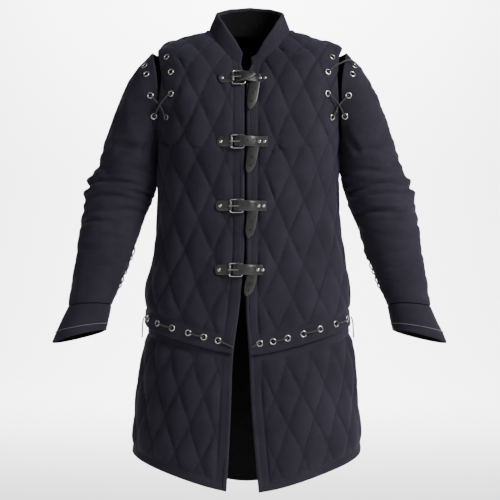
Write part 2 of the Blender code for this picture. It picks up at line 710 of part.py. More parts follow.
def make_laces():
    """Waist, shoulder and forearm laces and the short free ends at the waist."""
    waist_lace("waist_lace_left", LEFT_WAIST)
    waist_lace("waist_lace_right", RIGHT_WAIST)
    waist_lace("waist_lace_back", BACK_WAIST)
    for side, word in ((1, "left"), (-1, "right")):
        for face, where in ((1, "front"), (-1, "back")):
            spots = [shoulder_spot(r["place"], r["around"], SHOULDER_LIFT + r["lift"], face)
                     for r in SHOULDER_ROUTE]
            route = [mirrored(spot, side) for spot in spots]
            add_cord(f"shoulder_lace_{word}_{where}", smooth_route(route, 3))
        route = []
        for step in range(FOREARM_COUNT):
            degrees = 180.0 + (FOREARM_HALF if step % 2 else -FOREARM_HALF)
            row = FOREARM_FIRST + FOREARM_STEP * step
            spot = sleeve_point(degrees, row)
            out = (spot - sleeve_point(degrees + 180.0, row)).normalized()
            route.append(mirrored(spot + out * (LACE_LIFT + 0.001), side))
        add_cord(f"forearm_lace_{word}", smooth_route(route, 2))
        last = LEFT_WAIST[-1] if side > 0 else -RIGHT_WAIST[-1]
        start = body_at(side * (last + WAIST_END_PAST), WAIST_ROW, LACE_LIFT)
        route = [start + Vector((side * out * 0.5, 0.0, down)) for out, down in WAIST_END_DROPS]
        add_cord(f"waist_end_{word}", smooth_route(route, 1))
    strand = [shoulder_spot(r["place"], r["around"], LACE_LIFT + r["lift"], 1) for r in STRAND_ROUTE]
    add_cord("shoulder_strand_left", smooth_route(strand, 2))


clear_scene()
make_jacket()
make_skirt()
make_collar()
make_arms()
make_closures()
make_laces()
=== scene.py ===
"""
Looks of a gambeson: quilted black cotton arming coat, worn form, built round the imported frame.
Metres, +Z up, the front faces -Y, +X is the wearer's left.
"""
import math

import bmesh
import bpy
import numpy as np
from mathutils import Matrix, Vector


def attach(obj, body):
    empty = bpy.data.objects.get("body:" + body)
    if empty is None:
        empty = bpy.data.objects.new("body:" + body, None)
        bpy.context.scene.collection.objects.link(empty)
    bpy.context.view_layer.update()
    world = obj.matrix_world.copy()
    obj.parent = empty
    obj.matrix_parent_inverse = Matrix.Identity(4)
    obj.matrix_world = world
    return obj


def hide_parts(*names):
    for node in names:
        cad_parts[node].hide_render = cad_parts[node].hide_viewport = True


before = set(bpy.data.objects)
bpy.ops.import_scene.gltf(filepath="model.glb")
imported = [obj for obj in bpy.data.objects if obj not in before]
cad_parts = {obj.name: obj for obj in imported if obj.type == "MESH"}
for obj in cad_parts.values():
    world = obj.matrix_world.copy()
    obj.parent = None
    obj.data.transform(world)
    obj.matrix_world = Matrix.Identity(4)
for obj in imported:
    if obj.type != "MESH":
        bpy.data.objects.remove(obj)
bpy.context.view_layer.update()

BODY_NAME = "root"
TAU = math.tau

# ------------------------------------------------------------------ camera
CAMERA_PLACE = (0.0042, -3.0, -0.46)
CAMERA_LENS = 102.86
SENSOR = 36.0


def make_camera():
    """A long lens straight in front of the coat's middle."""
    data = bpy.data.cameras.new("camera")
    data.lens = CAMERA_LENS
    data.sensor_width = SENSOR
    camera = bpy.data.objects.new("camera", data)
    camera.location = CAMERA_PLACE
    camera.rotation_euler = (math.radians(90.0), 0.0, 0.0)
    bpy.context.scene.collection.objects.link(camera)
    bpy.context.scene.camera = camera


# ------------------------------------------------------------------ sizes shared with the frame
QUILT = 0.006
SLEEVE_CLOTH = 0.005
CUFF_CLOTH = 0.004
TUCK = 0.0072
BINDING_WIDE = 0.008
SEAM = 90.0
ARMHOLE_HALF = 23.0
ARMHOLE_MID = 3.0
JACKET_HEM = 8.0
SKIRT_TOP = 7.45
SKIRT_HEM = 11.0
CORD = 0.003
CLOSURE_HEIGHTS = (-0.113, -0.242, -0.371, -0.500)
CLOSURE_MIDDLE = -0.019
CLOSURE_DRIFT = -0.0018
TAIL_LENGTHS = (0.052, 0.050, 0.052, 0.040)
STRAP_HALF = 0.0105
STRAP_THICK = 0.0024
BAR = 0.0016
BUCKLE_HALF = 0.0130
BUCKLE_LIFT = 0.0058


def table(columns, *rows):
    """Rows of numbers with named columns."""
    names = columns.split()
    return [dict(zip(names, row)) for row in rows]


BODY = table(
    "centre half front back z_front z_side z_back power left_edge right_edge",
    (0.004, 0.084, 0.070, 0.062, -0.080, 0.000, 0.002, 2.0, 0.007, -0.015),    # neck seam
    (0.004, 0.130, 0.092, 0.086, -0.098, -0.017, -0.012, 2.1, 0.001, -0.010),  # yoke
    (0.003, 0.188, 0.108, 0.108, -0.124, -0.041, -0.050, 2.4, -0.002, -0.008),  # shoulder tip
    (0.002, 0.203, 0.123, 0.126, -0.175, -0.128, -0.140, 2.8, -0.002, -0.008),  # chest
    (0.001, 0.188, 0.130, 0.126, -0.262, -0.236, -0.246, 2.7, -0.002, -0.008),  # underarm
    (0.001, 0.186, 0.125, 0.112, -0.370, -0.350, -0.360, 2.5, -0.002, -0.008),  # waist
    (0.001, 0.193, 0.125, 0.116, -0.470, -0.445, -0.460, 2.4, -0.002, -0.009),  # above the hip
    (0.000, 0.209, 0.130, 0.130, -0.575, -0.535, -0.560, 2.4, -0.003, -0.018),  # hip
    (0.000, 0.216, 0.135, 0.140, -0.671, -0.615, -0.665, 2.4, 0.003, -0.031),   # jacket hem
    (-0.001, 0.229, 0.144, 0.146, -0.760, -0.700, -0.765, 2.3, 0.007, -0.035),
    (-0.002, 0.239, 0.152, 0.153, -0.850, -0.790, -0.865, 2.2, 0.014, -0.039),
    (-0.003, 0.246, 0.158, 0.158, -0.945, -0.880, -0.968, 2.2, 0.023, -0.045),  # skirt hem
)
COLLAR_TOP = table(
    "angle z",
    (0.0, -0.066), (12.0, -0.060), (30.0, -0.027), (60.0, 0.014),
    (90.0, 0.037), (135.0, 0.053), (180.0, 0.058),
)
COLLAR_RING = {"half": 0.070, "front": 0.061, "back": 0.054}
SLEEVE = table(
    "x y z across deep tilt nod",
    (0.213, 0.000, -0.160, 0.0880, 0.0760, 75.0, 0.0),
    (0.230, 0.000, -0.199, 0.0760, 0.0740, 58.0, 0.0),
    (0.241, 0.000, -0.236, 0.0700, 0.0720, 45.0, 1.0),
    (0.251, 0.000, -0.274, 0.0670, 0.0700, 32.0, 2.0),
    (0.262, -0.002, -0.314, 0.0660, 0.0680, 20.0, 4.0),
    (0.278, -0.006, -0.350, 0.0690, 0.0670, 15.0, 6.0),    # elbow fold
    (0.287, -0.014, -0.386, 0.0640, 0.0620, 15.0, 8.0),
    (0.296, -0.024, -0.426, 0.0610, 0.0590, 15.0, 9.0),
    (0.308, -0.038, -0.478, 0.0550, 0.0530, 12.0, 10.0),
    (0.320, -0.056, -0.530, 0.0490, 0.0470, 7.0, 10.0),
    (0.330, -0.070, -0.574, 0.0445, 0.0430, -2.0, 10.0),   # cuff seam
)
CUFF = table(
    "x y z across deep tilt nod",
    (0.330, -0.070, -0.575, 0.0445, 0.0430, -2.0, 10.0),
    (0.339, -0.078, -0.603, 0.0500, 0.0460, -7.0, 9.0),
    (0.345, -0.083, -0.6195, 0.0535, 0.0480, -10.0, 8.0),  # piping
    (0.350, -0.088, -0.636, 0.0570, 0.0500, -13.0, 8.0),   # rim
)
SHOULDER_GAP = table(
    "angle gap",
    (0.0, 0.016), (45.0, 0.013), (90.0, 0.008), (120.0, 0.004), (150.0, 0.006), (180.0, 0.009),
)


# ------------------------------------------------------------------ surfaces, on arrays
def read(rows, column, place):
    """Values of a column at fractional rows, on a smooth curve through the rows."""
    known = np.array([row[column] for row in rows])
    known = np.concatenate([[2 * known[0] - known[1]], known, [2 * known[-1] - known[-2]]])
    place = np.clip(np.asarray(place, dtype=float), 0.0, len(rows) - 1.0)
    index = np.minimum(place.astype(int), len(rows) - 2)
    f = place - index
    p0, p1, p2, p3 = (known[index + k] for k in range(4))
    return 0.5 * (2 * p1 + (p2 - p0) * f + (2 * p0 - 5 * p1 + 4 * p2 - p3) * f * f
                  + (3 * p1 - p0 - 3 * p2 + p3) * f ** 3)


def look_up(rows, key, column, value):
    """Straight-line values of a column at values of the key column."""
    return np.interp(value, [row[key] for row in rows], [row[column] for row in rows])


def stack(x, y, z):
    """Points from three arrays."""
    return np.stack(np.broadcast_arrays(x, y, z), axis=-1)


def unit(vectors):
    """Vectors at length one."""
    return vectors / np.maximum(np.linalg.norm(vectors, axis=-1, keepdims=True), 1e-12)


def ring_radius(angle, half, depth, power):
    """Radius of a squared-off ellipse in the direction of the angle."""
    across = np.abs(np.sin(angle)) / half
    along = np.abs(np.cos(angle)) / depth
    return (across ** power + along ** power) ** (-1.0 / power)


def body_point(degrees, row):
    """Points of the jacket's and skirt's outer surface."""
    angle = np.radians(degrees)
    facing = np.cos(angle)
    ahead = facing >= 0
    depth = np.where(ahead, read(BODY, "front", row), read(BODY, "back", row))
    end = np.where(ahead, read(BODY, "z_front", row), read(BODY, "z_back", row))
    side = read(BODY, "z_side", row)
    radius = ring_radius(angle, read(BODY, "half", row), depth, read(BODY, "power", row))
    x = read(BODY, "centre", row) + radius * np.sin(angle)
    return stack(x, -radius * facing, side + (end - side) * np.abs(facing) ** 1.5)


def body_normal(degrees, row):
    """Outward unit normals of the body's surface."""
    row = np.clip(row, 0.02, SKIRT_HEM - 0.02)
    along_u = body_point(degrees + 3.0, row) - body_point(degrees - 3.0, row)
    along_v = body_point(degrees, row + 0.02) - body_point(degrees, row - 0.02)
    return unit(np.cross(along_v, along_u))


def body_at(degrees, row, lift=0.0):
    """One point of the body's surface, moved out along its normal."""
    return body_point(degrees, row) + body_normal(degrees, row) * lift


def edge_angle(side, row, inset):
    """Angle of the front edge on one side, moved away from the middle by inset."""
    x = read(BODY, "left_edge" if side > 0 else "right_edge", row) - read(BODY, "centre", row) + side * inset
    return np.degrees(np.arctan2(x, read(BODY, "front", row)))


def seam_angle(row, inset):
    """Angle of the side seam, armhole and shoulder seam on the front half."""
    opening = ARMHOLE_HALF * np.sqrt(np.clip(1.0 - (row - ARMHOLE_MID) ** 2, 0.0, 1.0))
    return SEAM - opening - np.degrees(inset / read(BODY, "half", row))


def find_front(x, z):
    """Angle and row of the front surface point at x and z."""
    degrees, row = 0.0, 4.0
    for _ in range(10):
        low, high = 0.0, SKIRT_HEM
        for _ in range(26):
            row = 0.5 * (low + high)
            if body_point(degrees, row)[2] > z:
                low = row
            else:
                high = row
        degrees = math.degrees(math.atan2(x - float(read(BODY, "centre", row)), -body_point(degrees, row)[1]))
    return degrees, row


FRONT_CACHE = {}


def on_front(x, z, lift):
    """Point above the front of the jacket at x and z."""
    key = (round(float(x), 5), round(float(z), 5))
    if key not in FRONT_CACHE:
        degrees, row = find_front(*key)
        FRONT_CACHE[key] = (body_point(degrees, row), body_normal(degrees, row))
    point, normal = FRONT_CACHE[key]
    return point + normal * lift


def section_point(section, degrees):
    """Points of tilted oval sections; 0 is the outer end, 90 the front."""
    angle, tilt, nod = np.radians(degrees), np.radians(section["tilt"]), np.radians(section["nod"])
    outward = stack(np.cos(tilt), 0.0, np.sin(tilt))
    forward = stack(0.0, -np.cos(nod), np.sin(nod))
    centre = stack(section["x"], section["y"], section["z"])
    return (centre + outward * (section["across"] * np.cos(angle))[..., None]
            + forward * (section["deep"] * np.sin(angle))[..., None])


def armhole_point(degrees, out):
    """Points of the armhole's edge on the wearer's left, moved outward from the body."""
    angle = np.radians(degrees)
    edge = body_point(SEAM - ARMHOLE_HALF * np.sin(angle), ARMHOLE_MID - np.cos(angle))
    return edge + np.array([0.96, 0.0, -0.28]) * np.asarray(out)[..., None]


TUCK_OUT = -0.006
TUCK_IN = 0.010


def sleeve_point(degrees, row):
    """Points of the left sleeve's outer surface; row 0 is the head at the armhole."""
    degrees, row = np.broadcast_arrays(np.asarray(degrees, dtype=float), np.asarray(row, dtype=float))
    wrapped = (degrees + 180.0) % 360.0 - 180.0
    first = section_point({name: np.asarray(SLEEVE[0][name]) for name in SLEEVE[0]}, degrees)
    # at the back the head reaches under the jacket's edge
    tuck = step_up(-wrapped, 4.0, 26.0) * step_up(180.0 + wrapped, 20.0, 60.0)
    gap = look_up(SHOULDER_GAP, "angle", "gap", np.abs(wrapped))
    head = armhole_point(wrapped, gap + (TUCK_OUT - gap) * tuck)
    middle = np.array([SLEEVE[0]["x"], SLEEVE[0]["y"], SLEEVE[0]["z"]])
    head = head + unit(middle - head) * (TUCK_IN * tuck)[..., None]
    section = {name: read(SLEEVE, name, row - 1.0) for name in SLEEVE[0]}
    near = head + (first - head) * np.clip(row, 0.0, 1.0)[..., None]
    return np.where((row < 1.0)[..., None], near, section_point(section, degrees))


def cuff_point(degrees, row):
    """Points of the left cuff's outer surface."""
    return section_point({name: read(CUFF, name, row) for name in CUFF[0]}, np.asarray(degrees, dtype=float))


def tube_normal(surface, degrees, row):
    """Outward normals of a sleeve or cuff."""
    row = np.maximum(row, 0.05)
    along_u = surface(degrees + 2.0, row) - surface(degrees - 2.0, row)
    along_v = surface(degrees, row + 0.04) - surface(degrees, row - 0.04)
    normal = unit(np.cross(along_u, along_v))
    away = surface(degrees, row) - surface(degrees + 180.0, row)
    return np.where((normal * away).sum(-1, keepdims=True) < 0, -normal, normal)


def collar_point(degrees, height):
    """Points of the collar's outer surface; height 0 is the neck seam, 1 the top."""
    angle = np.radians(degrees)
    facing = np.cos(angle)
    foot = body_point(degrees, np.zeros_like(angle))
    depth = np.where(facing >= 0, COLLAR_RING["front"], COLLAR_RING["back"])
    radius = ring_radius(angle, COLLAR_RING["half"], depth, 2.0)
    around = np.abs((np.asarray(degrees) + 180.0) % 360.0 - 180.0)
    top = stack(BODY[0]["centre"] + radius * np.sin(angle), -radius * facing,
                look_up(COLLAR_TOP, "angle", "z", around))
    return foot + (top - foot) * np.asarray(height)[..., None]


# ------------------------------------------------------------------ unevenness of real cloth
def waves(u, v, size, seed, count=7):
    """Smooth uneven field of about one, from a few seeded waves of about the given size."""
    draw = np.random.default_rng(seed)
    total = np.zeros(np.broadcast(u, v).shape)
    for _ in range(count):
        way = draw.uniform(0, TAU)
        length = size * draw.uniform(0.7, 1.6)
        total += np.sin((u * math.cos(way) + v * math.sin(way)) * TAU / length + draw.uniform(0, TAU))
    return total / math.sqrt(count)


def step_up(value, low, high):
    """Smooth step from 0 at low to 1 at high."""
    f = np.clip((value - low) / (high - low), 0.0, 1.0)
    return f * f * (3.0 - 2.0 * f)


FOLD_DEPTH = 1.10
FOLD_SLOPE = 1.0


def creases(u, v, rows):
    """Soft troughs with a low ridge beside each, from a table of creases.
    u and v are metres round and along; length and width are metres, slope is rise over run."""
    total = np.zeros(u.shape)
    for row in rows:
        slope = FOLD_SLOPE * row["slope"]
        run = math.hypot(1.0, slope)
        du, dv = u - row["u"], v - row["v"]
        along = (du + dv * slope) / run
        bend = row["bend"] * along ** 2 / max(row["length"], 1e-6)
        off = (dv - du * slope) / run - bend
        fade = np.exp(-(along / (0.5 * row["length"])) ** 4)
        trough = np.exp(-(off / row["width"]) ** 2)
        ridge = np.exp(-((off - 2.0 * row["width"]) / (1.2 * row["width"])) ** 2)
        ridge += np.exp(-((off + 2.0 * row["width"]) / (1.2 * row["width"])) ** 2)
        total += FOLD_DEPTH * row["depth"] * fade * (0.45 * ridge - trough)
    return total


FLAT_SPOTS = []
FLAT_RADIUS = 0.0190


def seat(points, lift, height):
    """Level the cloth round each eyelet to one height."""
    if not FLAT_SPOTS:
        return lift
    shape = lift.shape
    flat = points.reshape(-1, 3)
    nearest = np.full(len(flat), 1.0)
    for spot in FLAT_SPOTS:
        nearest = np.minimum(nearest, np.linalg.norm(flat - spot, axis=1))
    weight = np.exp(-(nearest / FLAT_RADIUS) ** 4).reshape(shape)
    return lift * (1.0 - weight) + height * weight


# ------------------------------------------------------------------ building meshes
def link(item, slot_name, *nodes):
    """Put a piece in the scene, on the coat's body, and hide the nodes it stands for; slot_name is not used."""
    if item.name not in bpy.context.scene.collection.objects:
        bpy.context.scene.collection.objects.link(item)
    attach(item, BODY_NAME)
    if nodes:
        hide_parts(*nodes)
    return item


def mesh_piece(name, points, faces, material, uv=None, sharp=50.0):
    """A mesh object from points and faces, with an optional UV for each point."""
    mesh = bpy.data.meshes.new(name)
    mesh.from_pydata([tuple(p) for p in points], [], faces)
    mesh.materials.append(material)
    if uv is not None:
        index = np.empty(len(mesh.loops), dtype=np.int32)
        mesh.loops.foreach_get("vertex_index", index)
        for layer_name, values in uv.items():
            layer = mesh.uv_layers.new(name=layer_name)
            layer.data.foreach_set("uv", np.asarray(values, dtype=np.float32)[index].ravel())
    bm = bmesh.new()
    bm.from_mesh(mesh)
    bmesh.ops.recalc_face_normals(bm, faces=bm.faces)
    bm.to_mesh(mesh)
    bm.free()
    mesh.shade_smooth()
    mesh.set_sharp_from_angle(angle=math.radians(sharp))
    return bpy.data.objects.new(name, mesh)


LININGS_PAINTED_SHADE = []


def wall_piece(name, outer, inner, material, uv):
    """A wall between two grids of points; its inner face has the lining's material, black cloth darkened as painted
    shade inside the coat.
    """
    rows, columns = outer.shape[:2]
    points = np.concatenate([outer.reshape(-1, 3), inner.reshape(-1, 3)])
    index = np.arange(rows * columns).reshape(rows, columns)
    deep = index + rows * columns

    def quads(a, b, c, d):
        return np.stack([a.ravel(), b.ravel(), c.ravel(), d.ravel()], axis=1)

    faces = [
        quads(index[:-1, :-1], index[1:, :-1], index[1:, 1:], index[:-1, 1:]),
        quads(deep[:-1, :-1], deep[:-1, 1:], deep[1:, 1:], deep[1:, :-1]),
        quads(index[0, :-1], index[0, 1:], deep[0, 1:], deep[0, :-1]),
        quads(index[-1, :-1], deep[-1, :-1], deep[-1, 1:], index[-1, 1:]),
        quads(index[:-1, 0], deep[:-1, 0], deep[1:, 0], index[1:, 0]),
        quads(index[:-1, -1], index[1:, -1], deep[1:, -1], deep[:-1, -1]),
    ]
    both = {key: np.concatenate([value.reshape(-1, 2)] * 2) for key, value in uv.items()}
    item = mesh_piece(name, points, np.concatenate(faces).tolist(), material, both)
    item.data.materials.append(LININGS_PAINTED_SHADE[0])
    index = np.zeros(len(item.data.polygons), dtype=np.int32)
    index[len(faces[0]):len(faces[0]) + len(faces[1])] = 1
    item.data.polygons.foreach_set("material_index", index)
    return item


def spaced(count):
    """Fractions from 0 to 1 in even steps, with closer ones at both ends."""
    step = 1.0 / count
    near = [0.0, 0.12 * step, 0.35 * step, 0.65 * step]
    return np.array(near + [k * step for k in range(1, count)] + [1.0 - f for f in reversed(near)])


def rounding(distance, radius):
    """How far a wall's face has fallen at a distance from its edge, 0 to 1."""
    f = np.clip(distance / radius, 0.0, 1.0)
    return 1.0 - np.sqrt(1.0 - (1.0 - f) ** 2)


def lengths(points, axis):
    """Distance run along one axis of a grid of points."""
    steps = np.linalg.norm(np.diff(points, axis=axis), axis=-1)
    start = np.zeros_like(np.take(steps, [0], axis=axis))
    return np.concatenate([start, np.cumsum(steps, axis=axis)], axis=axis)


# ------------------------------------------------------------------ quilted panels
GRID = 0.0042               # spacing of points on the cloth
DIAMOND_WIDE = 0.0575
DIAMOND_HIGH = 0.128
PUFF = 0.0068
BASE_DROP = 0.0012          # the quilting lines lie this far below the CAD surface


def pillow(p, q):
    """Swell of a quilted diamond, 0 on its lines."""
    a, b = np.abs(np.sin(np.pi * p)), np.abs(np.sin(np.pi * q))
    return (a * b) ** 0.36


def distance_round(degrees, low_row, high_row):
    """Metres round the ring from the front middle, at a reference row, for each angle."""
    sweep = np.linspace(-270.0, 270.0, 1081)
    ring = 0.5 * (body_point(sweep, np.full(sweep.shape, low_row))
                  + body_point(sweep, np.full(sweep.shape, high_row)))
    run = np.concatenate([[0.0], np.cumsum(np.linalg.norm(np.diff(ring, axis=0), axis=1))])
    run -= np.interp(0.0, sweep, run)
    return np.interp(degrees, sweep, run)


def quilted_panel(name, nodes, start, stop, rows, setting, material):
    """A padded panel of the body with diamonds, plain strips along its edges and soft unevenness."""
    row_list = np.asarray(rows)
    first, last = start(row_list), stop(row_list)
    middle = len(row_list) // 2
    width = np.max(np.linalg.norm(body_point(last, row_list) - body_point(first, row_list), axis=1))
    turn = abs(float(last[middle] - first[middle]))
    count = int(max(width * 1.15, math.radians(turn) * 0.17) / GRID)
    f = spaced(count)
    degrees = first[:, None] + (last - first)[:, None] * f[None, :]
    row = np.repeat(row_list[:, None], len(f), axis=1)
    base = body_point(degrees, row)
    normal = body_normal(degrees, row)
    across = lengths(base, 1)
    down = lengths(base, 0)
    from_first, from_last = across, across[:, -1:] - across
    from_top, from_bottom = down, down[-1:, :] - down

    # the lattice's own metres: round the body, and down it
    middle_angle = setting.get("middle", 0.0)
    round_low = distance_round(degrees, *setting["ring"]) - distance_round(middle_angle, *setting["ring"])
    flat_x = (base[..., 0] - read(BODY, "centre", row)) * (1.04 if middle_angle == 0.0 else -1.04)
    blend = step_up(row, 3.0, 4.8) if setting.get("upper") else np.ones_like(row)
    u = round_low * blend + flat_x * (1.0 - blend)
    u = np.abs(u) if setting["fold"] else u
    level_row = int(np.argmin(np.abs(row_list - setting["level"])))
    v = down - np.take_along_axis(down, np.full((1, down.shape[1]), level_row), 0)
    v = v - read(BODY, "z_front", setting["level"])
    u = u + 0.0016 * waves(base[..., 0], base[..., 2], 0.16, setting["seed"])
    v = v + 0.0022 * waves(base[..., 0], base[..., 2], 0.14, setting["seed"] + 1)
    p = (u - setting["u0"]) / DIAMOND_WIDE + (v - setting["v0"]) / DIAMOND_HIGH
    q = (u - setting["u0"]) / DIAMOND_WIDE - (v - setting["v0"]) / DIAMOND_HIGH

    # plain strips: at the opening edge, the top and the bottom
    big = 9.0
    strips = []
    for distance, wide in ((from_first, setting["strip_first"]), (from_last, setting["strip_last"]),
                           (from_top, setting["strip_top"]), (from_bottom, setting["strip_bottom"])):
        strips.append(distance - wide if wide else np.full(distance.shape, big))
    inside = np.minimum.reduce(strips)
    uneven = 1.0 + 0.16 * waves(base[..., 0] + base[..., 1], base[..., 2], 0.09, setting["seed"] + 2)
    edge_fade = np.sqrt(np.clip(inside / 0.016, 0.0, 1.0))
    swell = PUFF * pillow(p, q) * edge_fade * uneven
    strip_swell = 0.0016 * np.clip(-inside / 0.006, 0.0, 1.0) ** 0.5
    groove = -0.0008 * np.exp(-(inside / 0.0014) ** 2)
    # small puckers that run out from the stitched lines
    near_line = np.exp(-np.minimum(np.abs(np.sin(np.pi * p)), np.abs(np.sin(np.pi * q))) / 0.22)
    pucker = 0.00030 * near_line * np.sin(TAU * v / 0.0105 + 2.5 * waves(u, v, 0.05, setting["seed"] + 3))
    sag = 0.0012 * waves(base[..., 0] + 0.7 * base[..., 1], 0.55 * base[..., 2], 0.12, setting["seed"] + 4)
    lift = -BASE_DROP + swell + strip_swell + groove + pucker * (inside > 0) + sag + setting["lift"]

    lift = seat(base, lift, setting["lift"])

    # rolled edges
    half = 0.5 * QUILT
    fall = np.zeros_like(lift)
    for distance in (from_first, from_last, from_top, from_bottom):
        fall = np.maximum(fall, rounding(distance, half))
    back = setting["lift"] - QUILT
    centre_lift = setting["lift"] - half
    outer = base + normal * (lift + (centre_lift - lift) * fall)[..., None]
    inner = base + normal * (back + (centre_lift - back) * fall)[..., None]
    uv = {"cloth": np.stack([u, v], axis=-1), "quilt": np.stack([p, q], axis=-1)}
    uv["band"] = np.stack([np.clip(inside, -0.05, 0.05), np.zeros_like(inside)], axis=-1)
    item = wall_piece(name, outer, inner, material, uv)
    return link(item, "quilted_cotton", *nodes)


def rows_between(low, high, spacing):
    """Fractional rows from low to high with points about evenly spaced down the front."""
    dense = np.linspace(low, high, 600)
    line = 0.5 * (body_point(np.full(600, 15.0), dense) + body_point(np.full(600, 60.0), dense))
    run = np.concatenate([[0.0], np.cumsum(np.linalg.norm(np.diff(line, axis=0), axis=1))])
    return np.interp(spaced(int(run[-1] / spacing)) * run[-1], run, dense)


def jacket_rows():
    """Rows of the jacket, packed closer where the armhole's edge turns."""
    steps = 44
    armhole = ARMHOLE_MID - np.cos(np.pi * np.arange(steps + 1) / steps)
    upper = rows_between(0.0, 2.0, GRID)[:-1]
    lower = rows_between(4.0, JACKET_HEM, GRID)[4:]
    return np.concatenate([upper[:-3], armhole, lower])


SEAM_INSET = -0.0012        # joined panels press into each other by this much
STRIP = 0.018
FRONT_SETTINGS = {
    1: {"ring": (4.5, 6.0), "upper": True, "fold": True, "level": 4.5, "seed": 11, "u0": 0.029, "v0": 0.305,
        "strip_first": STRIP, "strip_last": 0.0, "strip_top": 0.0, "strip_bottom": 0.034, "lift": 0.0},
    -1: {"ring": (4.5, 6.0), "upper": True, "fold": True, "level": 4.5, "seed": 23, "u0": 0.0169, "v0": 0.343,
         "strip_first": STRIP, "strip_last": 0.0, "strip_top": 0.0, "strip_bottom": 0.034, "lift": 0.0},
}
BACK_SETTING = {"ring": (4.5, 6.0), "upper": True, "fold": False, "middle": 180.0, "level": 4.5, "seed": 37,
                "u0": 0.0, "v0": 0.300, "strip_first": 0.0, "strip_last": 0.0, "strip_top": 0.0,
                "strip_bottom": 0.034, "lift": 0.0}
SKIRT_SETTINGS = {
    1: {"ring": (10.0, 10.0), "fold": True, "level": 9.5, "seed": 41, "u0": 0.0593, "v0": 0.762,
        "strip_first": STRIP, "strip_last": 0.0, "strip_top": 0.062, "strip_bottom": 0.018, "lift": -TUCK},
    -1: {"ring": (10.0, 10.0), "fold": True, "level": 9.5, "seed": 53, "u0": 0.094, "v0": 0.768,
         "strip_first": STRIP, "strip_last": 0.0, "strip_top": 0.062, "strip_bottom": 0.018, "lift": -TUCK},
}
SKIRT_BACK = {"ring": (10.0, 10.0), "fold": False, "middle": 180.0, "level": 9.5, "seed": 61, "u0": 0.0,
              "v0": 0.760, "strip_first": 0.0, "strip_last": 0.0, "strip_top": 0.062, "strip_bottom": 0.018,
              "lift": -TUCK}


UNDER_BINDING = 0.0045       # the quilted fronts start here, inside the binding


def make_jacket(cloth):
    """Two quilted fronts and the quilted back."""
    rows = jacket_rows()
    made = []
    for side, word in ((1, "left"), (-1, "right")):
        panel = quilted_panel(f"jacket_front_{word}", [f"front_{word}"],
                              lambda row: edge_angle(side, row, UNDER_BINDING),
                              lambda row: side * seam_angle(row, SEAM_INSET), rows, FRONT_SETTINGS[side], cloth)
        made.append(panel)
    panel = quilted_panel("jacket_back", ["back"],
                          lambda row: 180.0 - seam_angle(row, SEAM_INSET),
                          lambda row: 180.0 + seam_angle(row, SEAM_INSET), rows, BACK_SETTING, cloth)
    made.append(panel)
    return made


SKIRT_LAP = 0.35            # degrees by which joined skirt panels press into each other


def make_skirt(cloth):
    """The quilted skirt, tucked behind the jacket's hem."""
    rows = rows_between(SKIRT_TOP, SKIRT_HEM, GRID)
    for side, word in ((1, "left"), (-1, "right")):
        panel = quilted_panel(f"skirt_{word}", [f"skirt_front_{word}"],
                              lambda row: edge_angle(side, row, UNDER_BINDING),
                              lambda row: np.full(row.shape, side * (SEAM + SKIRT_LAP)), rows,
                              SKIRT_SETTINGS[side], cloth)
    panel = quilted_panel("skirt_rear", ["skirt_back"],
                          lambda row: np.full(row.shape, SEAM - SKIRT_LAP),
                          lambda row: np.full(row.shape, 270.0 + SKIRT_LAP), rows, SKIRT_BACK, cloth)


# ------------------------------------------------------------------ bindings and collar
def roll_piece(name, nodes, centres, across, facing, half_wide, half_thick, material, slot_name):
    """A rolled strip along a line: an oval section with rounded edges."""
    sides = 14
    points, faces, uv = [], [], []
    run = np.concatenate([[0.0], np.cumsum(np.linalg.norm(np.diff(centres, axis=0), axis=1))])
    for i, centre in enumerate(centres):
        for k in range(sides):
            turn = TAU * k / sides
            x = math.copysign(abs(math.cos(turn)) ** 0.6, math.cos(turn))
            y = math.copysign(abs(math.sin(turn)) ** 0.8, math.sin(turn))
            wide = half_wide[i] if np.ndim(half_wide) else half_wide
            points.append(centre + across[i] * (wide * x) + facing[i] * (half_thick * y))
            uv.append((run[i], 0.004 * turn))
    for i in range(len(centres) - 1):
        for k in range(sides):
            m = (k + 1) % sides
            faces.append((i * sides + k, i * sides + m, (i + 1) * sides + m, (i + 1) * sides + k))
    faces.append(tuple(range(sides))[::-1])
    faces.append(tuple((len(centres) - 1) * sides + k for k in range(sides)))
    item = mesh_piece(name, points, faces, material, {"cloth": np.array(uv)})
    return link(item, slot_name, *nodes)


BINDING_REACH = 0.0010      # how far the soft binding spreads into the front gap


def make_edge_binding(name, nodes, side, low, high, lift, material, seed):
    """Binding rolled round one front edge of the jacket or the skirt."""
    rows = np.linspace(low, high, int(110 * (high - low) / 8) + 30)
    mid = edge_angle(side, rows, 0.5 * BINDING_WIDE)
    centres = body_point(mid, rows)
    normal = body_normal(mid, rows)
    across = unit(body_point(mid + 0.5, rows) - body_point(mid - 0.5, rows))
    ripple = 0.00035 * waves(rows * 0.08, 0 * rows, 0.035, seed)
    centres = centres + normal * (lift - 0.5 * QUILT + ripple)[:, None]
    centres = centres - across * (side * 0.5 * BINDING_REACH)
    roll_piece(name, nodes, centres, across, normal, 0.5 * (BINDING_WIDE + BINDING_REACH) + 0.3 * ripple,
               0.5 * QUILT + 0.0009, material, "binding_cotton")


def collar_frame(degrees, height):
    """Point, outward normal and upward direction of the collar."""
    point = collar_point(degrees, height)
    angle = np.radians(degrees)
    outward = stack(np.sin(angle), -np.cos(angle), 0.0 * angle)
    rise = unit(collar_point(degrees, np.ones_like(angle)) - collar_point(degrees, np.zeros_like(angle)))
    return point, unit(outward - rise * (outward * rise).sum(-1, keepdims=True)), rise


